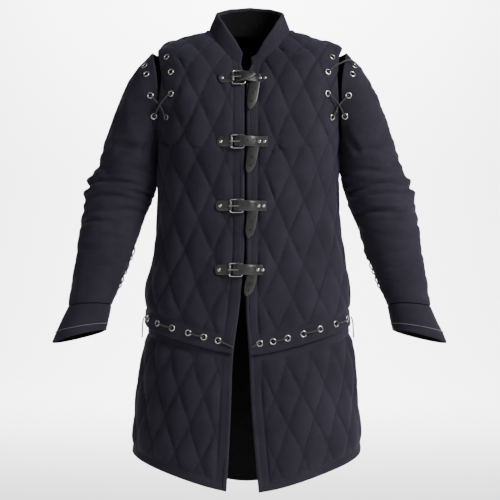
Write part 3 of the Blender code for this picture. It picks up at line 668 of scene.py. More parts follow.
COLLAR_CREASES = table(
    "u v slope length depth width bend",
    (0.112, 0.020, 2.6, 0.034, 0.0020, 0.0032, 0.0),
    (0.128, 0.022, 3.4, 0.036, 0.0016, 0.0030, 0.0),
    (0.070, 0.018, 1.6, 0.030, 0.0009, 0.0030, 0.0),
    (0.340, 0.020, -2.2, 0.030, 0.0013, 0.0032, 0.0),
    (0.372, 0.022, -1.4, 0.030, 0.0011, 0.0035, 0.0),
    (0.225, 0.022, 3.0, 0.034, 0.0010, 0.0034, 0.0),
)


def make_collar(cloth, binding):
    """Stand collar with soft creases, and its binding; its quilt UV is laid out for channel lines, but the plain
    canvas draws no stitching.
    """
    start = float(edge_angle(1, 0.0, 0.0))
    stop = 360.0 + float(edge_angle(-1, 0.0, 0.0))
    f = spaced(120)
    degrees = (start + (stop - start) * f)[None, :]
    heights = np.linspace(-0.12, 0.90, 20)[:, None]
    degrees, heights = np.broadcast_arrays(degrees, heights)
    point, normal, rise = collar_frame(degrees, heights)
    u, v = lengths(point, 1), lengths(point, 0)
    folds = creases(u, v, COLLAR_CREASES)
    lift = 0.0012 + folds + 0.0007 * waves(u, v, 0.06, 71)
    ends = np.minimum(u, u[:, -1:] - u)
    fall = np.maximum(rounding(ends, 0.0025), rounding(v, 0.0025))
    half = 0.5 * (QUILT - 0.001)
    outer = point + normal * (lift - (half + lift) * fall)[..., None]
    inner = point + normal * (-(QUILT - 0.001) + folds + (half - folds) * fall)[..., None]
    zero = np.zeros_like(u)
    uv = {"cloth": np.stack([u, v], -1), "quilt": np.stack([u / 0.03, zero + 0.5], -1),
          "band": np.stack([0.05 + zero, zero], -1)}
    collar = link(wall_piece("stand_collar", outer, inner, cloth, uv), "quilted_cotton", "collar")
    line = np.linspace(start, stop, 150)
    point, normal, rise = collar_frame(line, np.full(line.shape, 0.93))
    centres = point - normal * (0.5 * QUILT - 0.0004)
    roll_piece("collar_edge", ["collar_binding"], centres, rise, normal, 0.0042, 0.5 * QUILT + 0.0006,
               binding, "binding_cotton")


# ------------------------------------------------------------------ sleeves and cuffs
# u is metres round from the outer line towards the front, v metres down from the shoulder.
SLEEVE_CREASES = table(
    "u v slope length depth width bend",
    (0.060, 0.302, -0.30, 0.150, 0.0060, 0.0070, 0.10),    # long elbow crease
    (0.095, 0.275, -0.42, 0.090, 0.0038, 0.0060, -0.15),
    (0.075, 0.335, -0.22, 0.130, 0.0046, 0.0062, 0.12),
    (0.100, 0.362, -0.28, 0.100, 0.0034, 0.0052, -0.10),
    (0.055, 0.392, -0.16, 0.120, 0.0032, 0.0056, 0.10),
    (0.090, 0.420, -0.24, 0.090, 0.0024, 0.0050, 0.05),
    (0.050, 0.455, -0.12, 0.100, 0.0022, 0.0055, -0.10),
    (0.085, 0.485, -0.18, 0.075, 0.0018, 0.0050, 0.10),
    (0.130, 0.240, -0.75, 0.110, 0.0036, 0.0075, 0.15),    # pull from the underarm
    (0.105, 0.195, -1.10, 0.120, 0.0030, 0.0085, 0.10),
    (0.060, 0.215, -0.55, 0.110, 0.0026, 0.0080, -0.10),
    (0.150, 0.130, -2.60, 0.110, 0.0042, 0.0060, 0.05),    # fold beside the lacing
    (0.028, 0.268, 0.10, 0.080, 0.0032, 0.0070, 0.10),
    (0.020, 0.322, 0.14, 0.070, 0.0034, 0.0062, -0.10),
    (0.015, 0.372, 0.10, 0.080, 0.0022, 0.0060, 0.10),
    (-0.060, 0.300, 0.28, 0.140, 0.0050, 0.0070, 0.10),    # the back of the arm
    (-0.085, 0.338, 0.34, 0.110, 0.0038, 0.0060, -0.12),
    (-0.070, 0.372, 0.22, 0.110, 0.0030, 0.0060, 0.10),
    (-0.100, 0.260, 0.60, 0.110, 0.0034, 0.0080, 0.10),
    (-0.120, 0.180, 1.40, 0.120, 0.0030, 0.0080, 0.05),
    (-0.060, 0.430, 0.16, 0.100, 0.0022, 0.0055, -0.10),
    (-0.150, 0.130, 2.60, 0.110, 0.0036, 0.0060, 0.05),
    (0.170, 0.300, -0.20, 0.080, 0.0040, 0.0060, 0.10),    # crook of the elbow
    (-0.170, 0.310, 0.24, 0.080, 0.0040, 0.0060, 0.10),
    (0.165, 0.345, -0.10, 0.070, 0.0028, 0.0055, 0.10),
)


def arm_wall(name, nodes, surface, low, high, thick, side, cloth, folds, settings, seed):
    """A sleeve or cuff with folds and rolled ends; its seam runs up the underside."""
    rows = low + (high - low) * spaced(settings["rows"])
    degrees = (-180.0 + 360.0 * np.linspace(0.0, 1.0, settings["columns"] + 1))[None, :]
    degrees, row = np.broadcast_arrays(degrees, rows[:, None])
    point = surface(degrees, row)
    normal = tube_normal(surface, degrees, row)
    across, down = lengths(point, 1), lengths(point, 0)
    middle = across[:, settings["columns"] // 2][:, None]
    u, v = across - middle, down
    # the folds' places are read on a sleeve of even length, along its outer line
    outer_line = down[:, settings["columns"] // 2][:, None] + 0.0 * u
    lift = creases(u, outer_line, folds) if folds else np.zeros(u.shape)
    shake = waves(point[..., 0] * 0.6 + point[..., 1], point[..., 2] * 1.5, 0.10, seed)
    lift = lift * (1.0 + 0.15 * shake)
    slack = settings["slack"]
    lift += slack * waves(point[..., 0] * 0.8 + 1.3 * point[..., 1], point[..., 2] * 1.7, 0.075, seed + 1)
    lift += 0.4 * slack * waves(point[..., 0] + point[..., 1], point[..., 2] * 2.2, 0.030, seed + 2)
    ends = np.minimum(down, down[-1:, :] - down)
    lift *= step_up(ends, 0.0, 0.02)
    lift -= settings["seam"] * np.exp(-((v - settings["hem"]) / 0.0012) ** 2) if settings["hem"] else 0.0
    seam_side = np.minimum(across, across[:, -1:] - across)
    lift -= 0.0014 * np.exp(-(seam_side / 0.0022) ** 2)
    lift = seat(mirrored(point, side), lift, 0.0)
    half = 0.5 * thick
    fall = rounding(ends, half)
    outer = point + normal * (lift - (half + lift) * fall)[..., None]
    inner = point + normal * (lift - thick + (half - lift) * fall)[..., None]
    if side < 0:
        for grid in (outer, inner):
            grid[..., 0] = 2.0 * BODY[2]["centre"] - grid[..., 0]
    zero = np.zeros_like(u)
    uv = {"cloth": np.stack([u, v], -1), "quilt": np.stack([zero + 0.5, zero + 0.5], -1),
          "band": np.stack([0.05 + zero, zero], -1)}
    return link(wall_piece(name, outer, inner, cloth, uv), "quilted_cotton", *nodes)


def mirror_folds(rows, shift):
    """The other arm's folds: like the first arm's, but not the same."""
    draw = np.random.default_rng(5)
    result = []
    for row in rows:
        change = dict(row)
        change["v"] += draw.uniform(-1, 1) * shift
        change["u"] += draw.uniform(-1, 1) * shift
        change["slope"] *= draw.uniform(0.7, 1.25)
        change["depth"] *= draw.uniform(0.75, 1.2)
        result.append(change)
    return result


def make_arms(cloth, piping):
    """Sleeves, cuffs and piping."""
    sleeve_grid = {"rows": 150, "columns": 96, "slack": 0.0010, "seam": 0.0, "hem": 0.0}
    cuff_grid = {"rows": 22, "columns": 80, "slack": 0.0004, "seam": 0.0, "hem": 0.0}
    for side, word in ((1, "left"), (-1, "right")):
        folds = SLEEVE_CREASES if side < 0 else mirror_folds(SLEEVE_CREASES, 0.009)
        sleeve = arm_wall(f"arm_{word}", [f"sleeve_{word}"], sleeve_point, 0.0, 11.0, SLEEVE_CLOTH, side,
                          cloth, folds, sleeve_grid, 81 + side)
        cuff = arm_wall(f"cuff_cloth_{word}", [f"cuff_{word}"], cuff_point, -0.05, 3.0, CUFF_CLOTH, side,
                        cloth, None, cuff_grid, 91 + side)
        line = np.linspace(0.0, 360.0, 97)
        point = cuff_point(line, np.full(line.shape, 2.0))
        normal = tube_normal(cuff_point, line, np.full(line.shape, 2.0))
        down = unit(cuff_point(line, np.full(line.shape, 2.2)) - cuff_point(line, np.full(line.shape, 1.8)))
        centres = point + normal * 0.0006
        if side < 0:
            for grid in (centres, normal, down):
                grid[..., 0] *= -1.0
            centres[..., 0] += 2.0 * BODY[2]["centre"]
        roll_piece(f"piping_{word}", [f"cuff_piping_{word}"], centres, down, normal, 0.0008, 0.0009,
                   piping, "light_piping")


# ------------------------------------------------------------------ leather closures
def strap_piece(name, nodes, centres, across, facing, halves, thick, material):
    """A leather strap: rounded edges and a slightly crowned face."""
    profile = ((-1.0, -0.15), (-0.97, 0.28), (-0.86, 0.47), (0.0, 0.5), (0.86, 0.47), (0.97, 0.28), (1.0, -0.15),
               (0.96, -0.42), (0.85, -0.5), (0.0, -0.5), (-0.85, -0.5), (-0.96, -0.42))
    sides = len(profile)
    points, faces, uv = [], [], []
    run = 0.0
    for i, centre in enumerate(centres):
        if i:
            run += float(np.linalg.norm(centre - centres[i - 1]))
        for x, y in profile:
            points.append(centre + across[i] * (halves[i] * x) + facing[i] * (thick * y))
            uv.append((run, halves[i] * x))
    for i in range(len(centres) - 1):
        for k in range(sides):
            m = (k + 1) % sides
            faces.append((i * sides + k, i * sides + m, (i + 1) * sides + m, (i + 1) * sides + k))
    faces.append(tuple(range(sides))[::-1])
    faces.append(tuple((len(centres) - 1) * sides + k for k in range(sides)))
    item = mesh_piece(name, points, faces, material, {"cloth": np.array(uv)}, sharp=60.0)
    return link(item, "black_leather", *nodes)


def smooth_line(stations, count):
    """A smooth run of points through chosen stations (each a tuple of numbers)."""
    rows = [dict(enumerate(station)) for station in stations]
    places = np.linspace(0.0, len(stations) - 1.0, count)
    return np.stack([read(rows, key, places) for key in range(len(stations[0]))], axis=1)


def strap_along(name, nodes, stations, height, thick, material, count=26):
    """A strap lying along x on the front; stations are x, height offset, lift and half width."""
    line = smooth_line(stations, count)
    centres = np.array([on_front(x, height + dz, lift) for x, dz, lift, _ in line])
    along = unit(np.gradient(centres, axis=0))
    up = np.array([on_front(x, height + dz + 0.01, 0.0) - on_front(x, height + dz - 0.01, 0.0)
                   for x, dz, lift, _ in line])
    across = unit(up - along * (up * along).sum(-1, keepdims=True))
    facing = unit(np.cross(across, along))
    outward = np.array([on_front(x, height + dz, 0.01) - on_front(x, height + dz, 0.0)
                        for x, dz, lift, _ in line])
    facing = np.where((facing * outward).sum(-1, keepdims=True) < 0, -facing, facing)
    return strap_piece(name, nodes, centres, across, facing, line[:, 3], thick, material)


def make_tail(name, nodes, root, height, tail, bend, material):
    """The strap's free end: from behind the strap down to its point, with a little curl."""
    stations = [
        (root + 0.004, 0.007, 0.0050, 0.0094), (root + 0.002, -0.004, 0.0040, 0.0100),
        (root, -0.014, 0.0034, 0.0104), (root - 0.0030 * bend, -0.0125 - 0.40 * tail, 0.0042, 0.0104),
        (root - 0.0060 * bend, -0.0125 - 0.72 * tail, 0.0050, 0.0092),
        (root - 0.0085 * bend, -0.0125 - 0.90 * tail, 0.0044, 0.0056),
        (root - 0.0095 * bend, -0.0125 - tail, 0.0038, 0.0012),
    ]
    line = smooth_line(stations, 30)
    centres = np.array([on_front(x, height + dz, lift) for x, dz, lift, _ in line])
    along = unit(np.gradient(centres, axis=0))
    wide = np.array([on_front(x + 0.01, height + dz, 0.0) - on_front(x - 0.01, height + dz, 0.0)
                     for x, dz, lift, _ in line])
    across = unit(wide - along * (wide * along).sum(-1, keepdims=True))
    facing = unit(np.cross(along, across))
    facing = np.where(facing[:, 1:2] > 0, -facing, facing)
    strap_piece(name, nodes, centres, across, facing, line[:, 3], STRAP_THICK * 0.9, material)
    holes = []
    for part in (0.50, 0.68):
        k = int(part * (len(centres) - 1))
        holes.append((centres[k] + facing[k] * (0.46 * STRAP_THICK), facing[k]))
    return holes


def lathe_on(points_out, faces_out, centre, normal, profile, sides):
    """Add a turned profile (radius, height) standing on a point."""
    normal = Vector(normal).normalized()
    across = normal.orthogonal().normalized()
    along = normal.cross(across)
    base = len(points_out)
    for radius, height in profile:
        for k in range(sides):
            turn = TAU * k / sides
            offset = across * (radius * math.cos(turn)) + along * (radius * math.sin(turn)) + normal * height
            points_out.append(np.array(centre) + np.array(offset))
    for i in range(len(profile) - 1):
        for k in range(sides):
            m = (k + 1) % sides
            faces_out.append((base + i * sides + k, base + i * sides + m,
                              base + (i + 1) * sides + m, base + (i + 1) * sides + k))
    faces_out.append(tuple(base + k for k in range(sides))[::-1])
    faces_out.append(tuple(base + (len(profile) - 1) * sides + k for k in range(sides)))


RIVET_PROFILE = ((0.0034, -0.0006), (0.0036, 0.0002), (0.0033, 0.0009),
                 (0.0024, 0.0015), (0.0012, 0.0018), (0.0002, 0.0019))
HOLE_PROFILE = ((0.0013, -0.0003), (0.0013, 0.00025), (0.0011, 0.0003), (0.0002, 0.0003))


def tube_along(points_out, faces_out, centres, radius, sides, closed):
    """Add a round tube along points; radius may vary."""
    base = len(points_out)
    count = len(centres)
    radius = np.broadcast_to(radius, (count,))
    for i in range(count):
        before = centres[i - 1] if (i or closed) else centres[i]
        after = centres[(i + 1) % count] if (i < count - 1 or closed) else centres[i]
        along = Vector(after - before).normalized()
        side = along.cross(Vector((0.0, 1.0, 0.05))).normalized()
        out = side.cross(along)
        for k in range(sides):
            turn = TAU * k / sides
            offset = side * (radius[i] * math.cos(turn)) + out * (radius[i] * math.sin(turn))
            points_out.append(np.array(centres[i]) + np.array(offset))
    spans = count if closed else count - 1
    for i in range(spans):
        n = (i + 1) % count
        for k in range(sides):
            m = (k + 1) % sides
            faces_out.append((base + i * sides + k, base + i * sides + m,
                              base + n * sides + m, base + n * sides + k))
    if not closed:
        faces_out.append(tuple(base + k for k in range(sides))[::-1])
        faces_out.append(tuple(base + (count - 1) * sides + k for k in range(sides)))


def make_buckle(number, middle, height, metal):
    """Wire buckle frame with rounded corners, and its prong."""
    points, faces = [], []
    corner = 0.0042
    path = []
    for quarter in range(4):
        cx = (1, -1, -1, 1)[quarter] * (BUCKLE_HALF - corner)
        cz = (1, 1, -1, -1)[quarter] * (BUCKLE_HALF - corner)
        for part in range(7):
            angle = math.radians(90.0 * quarter + 15.0 * part)
            path.append(on_front(middle + cx + corner * math.cos(angle),
                                 height + cz + corner * math.sin(angle), BUCKLE_LIFT))
    tube_along(points, faces, path, BAR, 12, True)
    frame_piece = mesh_piece(f"buckle_frame_{number}", points, faces, metal)
    link(frame_piece, "nickel", f"closure_{number}_buckle")
    points, faces = [], []
    stations = [(middle - BUCKLE_HALF - 0.0018, BUCKLE_LIFT + 0.0022),
                (middle - BUCKLE_HALF + 0.003, BUCKLE_LIFT + 0.0032),
                (middle, BUCKLE_LIFT + 0.0042), (middle + BUCKLE_HALF - 0.002, BUCKLE_LIFT + 0.0056),
                (middle + BUCKLE_HALF + 0.0028, BUCKLE_LIFT + 0.0050)]
    line = smooth_line(stations, 16)
    centres = [on_front(x, height, lift) for x, lift in line]
    tube_along(points, faces, centres, np.linspace(0.00135, 0.0008, 16), 10, False)
    link(mesh_piece(f"buckle_prong_{number}", points, faces, metal), "nickel", f"closure_{number}_prong")


def make_closures(leather, metal, dark):
    """Four leather closures, each with its buckle, prong, rivets and hanging strap end."""
    for index, (height, tail) in enumerate(zip(CLOSURE_HEIGHTS, TAIL_LENGTHS)):
        number = index + 1
        middle = CLOSURE_MIDDLE + CLOSURE_DRIFT * index
        bar = middle + BUCKLE_HALF
        left = middle - 0.041
        flat = 0.0036
        strap_along(f"base_strap_{number}", [f"closure_{number}_base"],
                    [(left, 0.0, flat, 0.0030), (left + 0.0012, 0.0, flat, 0.0066),
                     (left + 0.004, 0.0, flat, 0.0094),
                     (left + 0.010, 0.0, flat, STRAP_HALF), (left + 0.018, 0.0, flat + 0.0004, STRAP_HALF),
                     (left + 0.0245, 0.0, flat + 0.0018, 0.0100),
                     (middle - BUCKLE_HALF - 0.0002, 0.0, BUCKLE_LIFT + 0.0026, 0.0094),
                     (middle - BUCKLE_HALF + 0.0030, 0.0, BUCKLE_LIFT + 0.0012, 0.0092)],
                    height, STRAP_THICK, leather)
        top = BUCKLE_LIFT + BAR + 0.5 * STRAP_THICK + 0.0003
        strap_along(f"tongue_strap_{number}", [f"closure_{number}_tongue"],
                    [(bar + 0.0470, 0.0, flat, 0.0100), (bar + 0.0455, 0.0, flat, STRAP_HALF),
                     (bar + 0.0360, 0.0, flat, STRAP_HALF), (bar + 0.0240, 0.0, flat + 0.0006, STRAP_HALF),
                     (bar + 0.0130, 0.0003, 0.5 * (flat + top) + 0.001, STRAP_HALF),
                     (bar + 0.0040, 0.0006, top, STRAP_HALF),
                     (bar - 0.0030, 0.0006, top, STRAP_HALF), (bar - 0.0110, 0.0, 0.66 * top, 0.0103),
                     (bar - 0.0185, 0.0, 0.42 * top, 0.0090)],
                    height, STRAP_THICK, leather, count=34)
        # the end passes up over the bar as a keeper fold, then behind the strap
        strap_along(f"fold_strap_{number}", [],
                    [(bar + 0.0200, 0.0060, top + 0.0004, 0.0040), (bar + 0.0140, 0.0040, top + 0.0022, 0.0072),
                     (bar + 0.0060, 0.0018, top + 0.0030, 0.0096), (bar - 0.0010, 0.0010, top + 0.0030, 0.0112),
                     (bar - 0.0080, 0.0012, top + 0.0016, 0.0116), (bar - 0.0125, 0.0012, top - 0.0012, 0.0112)],
                    height, STRAP_THICK * 0.85, leather, count=22)
        holes = make_tail(f"strap_end_{number}", [], bar + 0.0195, height, tail, 1.0 + 0.25 * (index % 2), leather)
        points, faces = [], []
        for centre, facing in holes:
            lathe_on(points, faces, centre, facing, HOLE_PROFILE, 14)
        link(mesh_piece(f"strap_holes_{number}", points, faces, dark), "black_leather")
        make_buckle(number, middle, height, metal)
        for rivet, x in enumerate((middle - 0.0335, bar + 0.0410, bar + 0.0310)):
            points, faces = [], []
            normal = on_front(x, height, 0.01) - on_front(x, height, 0.0)
            lathe_on(points, faces, on_front(x, height, flat + 0.5 * STRAP_THICK), normal, RIVET_PROFILE, 20)
            link(mesh_piece(f"rivet_{number}_{rivet + 1}", points, faces, metal), "nickel",
                 f"closure_{number}_rivet_{rivet + 1}")


# ------------------------------------------------------------------ laces and eyelets
WAIST_ROW = 7.76
LACE_LIFT = 0.0027
LEFT_WAIST = [10.0 + 10.9 * k for k in range(7)]
RIGHT_WAIST = [-24.7 - 10.4 * k for k in range(6)]
BACK_WAIST = [98.0 + 12.6 * k for k in range(14)]
JACKET_SHOULDER = (26.0, 57.0, 88.0, 119.0)
JACKET_INSETS = (0.033, 0.027, 0.025, 0.022)
SLEEVE_SHOULDER = (34.0, 52.0, 84.0, 112.0)
CHEST_HALF = 0.19            # turns the insets above from metres into an angle
SLEEVE_EYELET_ROW = 0.6
FOREARM_FIRST = 8.3          # row of the first forearm eyelet
FOREARM_STEP = 0.3
FOREARM_HALF = 9.0           # degrees from the sleeve's seam to its eyelets
FOREARM_COUNT = 7
END_DROPS = ((0.0, 0.0), (0.004, -0.004), (0.008, -0.012), (0.009, -0.022), (0.010, -0.034), (0.011, -0.044))


def mirrored(points, side):
    """The left side's points, or their mirror image on the right."""
    points = np.array(points)
    if side < 0:
        points[..., 0] = 2.0 * BODY[2]["centre"] - points[..., 0]
    return points


def flipped(vectors, side):
    """The left side's directions, or their mirror image on the right."""
    return np.array(vectors) * np.array([1.0 if side > 0 else -1.0, 1.0, 1.0])


def lace_mesh(name, route, material, spacing=0.0016):
    """A round lace on a smooth line through its route. Returns the piece and its path."""
    dense = smooth_line([tuple(p) for p in route], len(route) * 24)
    run = np.concatenate([[0.0], np.cumsum(np.linalg.norm(np.diff(dense, axis=0), axis=1))])
    marks = np.linspace(0.0, run[-1], max(int(run[-1] / spacing), 8))
    path = np.stack([np.interp(marks, run, dense[:, k]) for k in range(3)], axis=1)
    sides = 10
    tangent = unit(np.gradient(path, axis=0))
    side = np.zeros_like(path)
    reference = np.array([0.31, 0.24, 0.92])
    for i, along in enumerate(tangent):
        reference = reference - along * float(reference @ along)
        reference = reference / np.linalg.norm(reference)
        side[i] = reference
    out = np.cross(tangent, side)
    points, faces, uv = [], [], []
    for i in range(len(path)):
        for k in range(sides):
            turn = TAU * k / sides
            points.append(path[i] + (side[i] * math.cos(turn) + out[i] * math.sin(turn)) * (0.5 * CORD))
            uv.append((marks[i], 0.5 * CORD * turn))
    for i in range(len(path) - 1):
        for k in range(sides):
            m = (k + 1) % sides
            faces.append((i * sides + k, i * sides + m, (i + 1) * sides + m, (i + 1) * sides + k))
    faces.append(tuple(range(sides))[::-1])
    faces.append(tuple((len(path) - 1) * sides + k for k in range(sides)))
    return mesh_piece(name, points, faces, material, {"cloth": np.array(uv)}), path


def make_free_ends(lace):
    """The short free lace ends that hang at the sides of the waist."""
    for side, word in ((1, "left"), (-1, "right")):
        last = LEFT_WAIST[-1] if side > 0 else -RIGHT_WAIST[-1]
        start = body_at(side * (last + 6.0), WAIST_ROW, LACE_LIFT)
        route = [start + np.array([side * out * 0.5, 0.0, down]) for out, down in END_DROPS]
        piece, path = lace_mesh(f"free_end_{word}", route, lace)
        link(piece, "lace_cord", f"waist_end_{word}")
        [tuple(p) for p in path]


def waist_stretch(first, second):
    """Route of one visible stretch of waist lace, which dips into the eyelet at both ends."""
    span = second - first
    return [body_at(first, WAIST_ROW, -0.0045),
            body_at(first + 0.03 * span, WAIST_ROW, 0.0010),
            body_at(first + 0.16 * span, WAIST_ROW - 0.004, 0.0043),
            body_at(first + 0.5 * span, WAIST_ROW + 0.012, 0.0036),
            body_at(first + 0.84 * span, WAIST_ROW - 0.004, 0.0043),
            body_at(first + 0.97 * span, WAIST_ROW, 0.0010),
            body_at(second, WAIST_ROW, -0.0045)]


def waist_piece(name, node, angles, first_out, wrap, lace):
    """One waist lace: outside and inside the cloth in turn; the inside runs lie within the padding."""
    route = []
    if wrap is not None:
        route += [body_at(wrap, WAIST_ROW + 0.10, -0.0105), body_at(wrap * 0.96, WAIST_ROW + 0.09, -0.0020),
                  body_at(wrap + 0.08 * (angles[0] - wrap), WAIST_ROW + 0.08, 0.0034),
                  body_at(wrap + 0.55 * (angles[0] - wrap), WAIST_ROW + 0.03, 0.0036),
                  body_at(angles[0] - 0.05 * (angles[0] - wrap), WAIST_ROW, 0.0012)]
    for k, (first, second) in enumerate(zip(angles, angles[1:])):
        if k % 2 == first_out:
            route += waist_stretch(first, second)
        else:
            route += [body_at(first, WAIST_ROW, -0.0040), body_at(0.5 * (first + second), WAIST_ROW, -0.0035)]
    route += [body_at(angles[-1], WAIST_ROW, -0.0040)]
    piece, _ = lace_mesh(name, route, lace)
    link(piece, "lace_cord", node)


def beside_armhole(around, face):
    """Degrees and row of the jacket's eyelets beside the left armhole."""
    turn = np.radians(around)
    inset = np.interp(around, JACKET_SHOULDER, JACKET_INSETS)
    degrees = SEAM - ARMHOLE_HALF * np.sin(turn) - np.degrees(inset / CHEST_HALF)
    return (degrees if face > 0 else 180.0 - degrees), ARMHOLE_MID - np.cos(turn)


def shoulder_spot(place, around, lift, face):
    """Point beside the left armhole, on the jacket (-1), the sleeve (+1) or between (0)."""
    jacket = body_at(*beside_armhole(around, face), lift)
    sleeve = sleeve_point(face * around, SLEEVE_EYELET_ROW)
    away = unit(sleeve - sleeve_point(face * around + 180.0, SLEEVE_EYELET_ROW))
    sleeve = sleeve + away * lift
    return jacket + (sleeve - jacket) * (0.5 * (place + 1))


def shoulder_normal(place, around, face):
    """Outward direction at a shoulder eyelet."""
    if place < 0:
        return body_normal(*beside_armhole(around, face))
    return tube_normal(sleeve_point, np.asarray(face * around), np.asarray(SLEEVE_EYELET_ROW))


def strand_route(jacket_turn, sleeve_turn, rise, face):
    """A strand from a jacket eyelet over the gap to a sleeve eyelet."""
    def at(place, lift):
        f = 0.5 * (place + 1)
        return shoulder_spot(place, jacket_turn + (sleeve_turn - jacket_turn) * f, lift, face)
    return [at(-1.0, -0.003), at(-0.97, 0.0016), at(-0.80, 0.0046 + 0.3 * rise), at(0.0, 0.0040 + rise),
            at(0.82, 0.0046 + 0.3 * rise), at(0.97, 0.0016), at(1.0, -0.003)]


def forearm_spot(step):
    """Degrees and row of a forearm eyelet, on either side of the seam in turn."""
    return 180.0 + (FOREARM_HALF if step % 2 else -FOREARM_HALF), FOREARM_FIRST + FOREARM_STEP * step


def make_laces(lace):
    """Waist, shoulder and forearm laces."""
    waist_piece("lace_waist_left", "waist_lace_left", LEFT_WAIST, 1, 2.2, lace)
    waist_piece("lace_waist_right", "waist_lace_right", RIGHT_WAIST, 1, -13.4, lace)
    waist_piece("lace_waist_back", "waist_lace_back", BACK_WAIST, 0, None, lace)
    for side, word in ((1, "left"), (-1, "right")):
        for face, where in ((1, "front"), (-1, "back")):
            first = mirrored(strand_route(119.0, 84.0, 0.0, face), side)
            second = mirrored(strand_route(88.0, 112.0, 0.0036, face), side)
            piece, _ = lace_mesh(f"lace_cross_{word}_{where}", first, lace)
            link(piece, "lace_cord", f"shoulder_lace_{word}_{where}")
            piece, _ = lace_mesh(f"lace_over_{word}_{where}", second, lace)
            link(piece, "lace_cord", f"shoulder_lace_{word}_{where}")
        route = []
        for step in range(FOREARM_COUNT):
            degrees, row = forearm_spot(step)
            spot = sleeve_point(degrees, row)
            out = tube_normal(sleeve_point, np.asarray(degrees), np.asarray(row))
            route.append(spot + out * 0.0012)
            if step < FOREARM_COUNT - 1:
                half = sleeve_point(180.0, row + 0.15)
                route.append(half + tube_normal(sleeve_point, np.asarray(180.0), np.asarray(row + 0.15)) * 0.0030)
        piece, _ = lace_mesh(f"lace_forearm_{word}", mirrored(route, side), lace)
        link(piece, "lace_cord", f"forearm_lace_{word}")
    strand = [shoulder_spot(p, a, h, 1) for p, a, h in
              ((-1, 57.0, -0.003), (-0.97, 57.0, 0.002), (-0.7, 50.0, 0.007),
               (-0.2, 42.0, 0.011), (0.3, 35.0, 0.012),
               (0.75, 31.0, 0.009), (0.96, 33.0, 0.002), (1, 34.0, -0.003))]
    piece, _ = lace_mesh("loose_strand_left", strand, lace)
    link(piece, "lace_cord", "shoulder_strand_left")


EYELET_PROFILE = ((0.0066, -0.0003), (0.0070, 0.0002), (0.0069, 0.0007), (0.0062, 0.0012), (0.0054, 0.0015),
                  (0.0046, 0.0013), (0.0041, 0.0006), (0.0040, -0.0004), (0.0041, -0.0016), (0.0052, -0.0012))
SMALL_EYELET = 0.42


def list_flat_spots():
    """The places of the waist and shoulder eyelets on the cloth."""
    spots = [body_at(a, WAIST_ROW) for a in LEFT_WAIST + RIGHT_WAIST + BACK_WAIST]
    for side in (1, -1):
        for face in (1, -1):
            for place, turns in ((-1, JACKET_SHOULDER), (1, SLEEVE_SHOULDER)):
                spots += [mirrored(shoulder_spot(place, turn, 0.0, face), side) for turn in turns]
    return [np.array(spot).reshape(3) for spot in spots]


def eyelet_mesh(name, spots, size, metal, dark):
    """A set of eyelets, each a rolled ring with a dark hole."""
    rings, ring_faces, holes, hole_faces = [], [], [], []
    sides = 28
    for centre, normal in spots:
        up = Vector(normal).normalized()
        across = up.orthogonal().normalized()
        along = up.cross(across)
        base = len(rings)
        count = len(EYELET_PROFILE)
        for radius, height in EYELET_PROFILE:
            for k in range(sides):
                turn = TAU * k / sides
                offset = (across * math.cos(turn) + along * math.sin(turn)) * (radius * size) + up * (height * size)
                rings.append(np.array(centre) + np.array(offset))
        for i in range(count):
            n = (i + 1) % count
            for k in range(sides):
                m = (k + 1) % sides
                ring_faces.append((base + i * sides + k, base + i * sides + m,
                                   base + n * sides + m, base + n * sides + k))
        profile = tuple((r * size, h * size) for r, h in ((0.0042, -0.0012), (0.0042, 0.0000), (0.0002, 0.0001)))
        lathe_on(holes, hole_faces, centre, normal, profile, 16)
    link(mesh_piece(name, rings, ring_faces, metal), "nickel")
    link(mesh_piece(f"{name}_holes", holes, hole_faces, dark), "quilted_cotton")


def make_eyelets(metal, dark):
    """Eyelets at the waist, the shoulders and the forearms."""
    for word, angles in (("left", LEFT_WAIST), ("right", RIGHT_WAIST), ("back", BACK_WAIST)):
        spots = [(body_at(a, WAIST_ROW, 0.0004), body_normal(np.asarray(a), np.asarray(WAIST_ROW)))
                 for a in angles]
        eyelet_mesh(f"waist_eyelets_{word}", spots, 1.0, metal, dark)
    for side, word in ((1, "left"), (-1, "right")):
        for face, where in ((1, "front"), (-1, "back")):
            spots = []
            for place, turns in ((-1, JACKET_SHOULDER), (1, SLEEVE_SHOULDER)):
                for turn in turns:
                    spots.append((mirrored(shoulder_spot(place, turn, 0.0009, face), side),
                                  flipped(shoulder_normal(place, turn, face), side)))
            eyelet_mesh(f"shoulder_eyelets_{word}_{where}", spots, 1.0, metal, dark)
        spots = []
        for step in range(FOREARM_COUNT):
            degrees, row = map(np.asarray, forearm_spot(step))
            normal = tube_normal(sleeve_point, degrees, row)
            spots.append((mirrored(sleeve_point(degrees, row) + normal * 0.0003, side), flipped(normal, side)))
        eyelet_mesh(f"forearm_eyelets_{word}", spots, SMALL_EYELET, dark, dark)


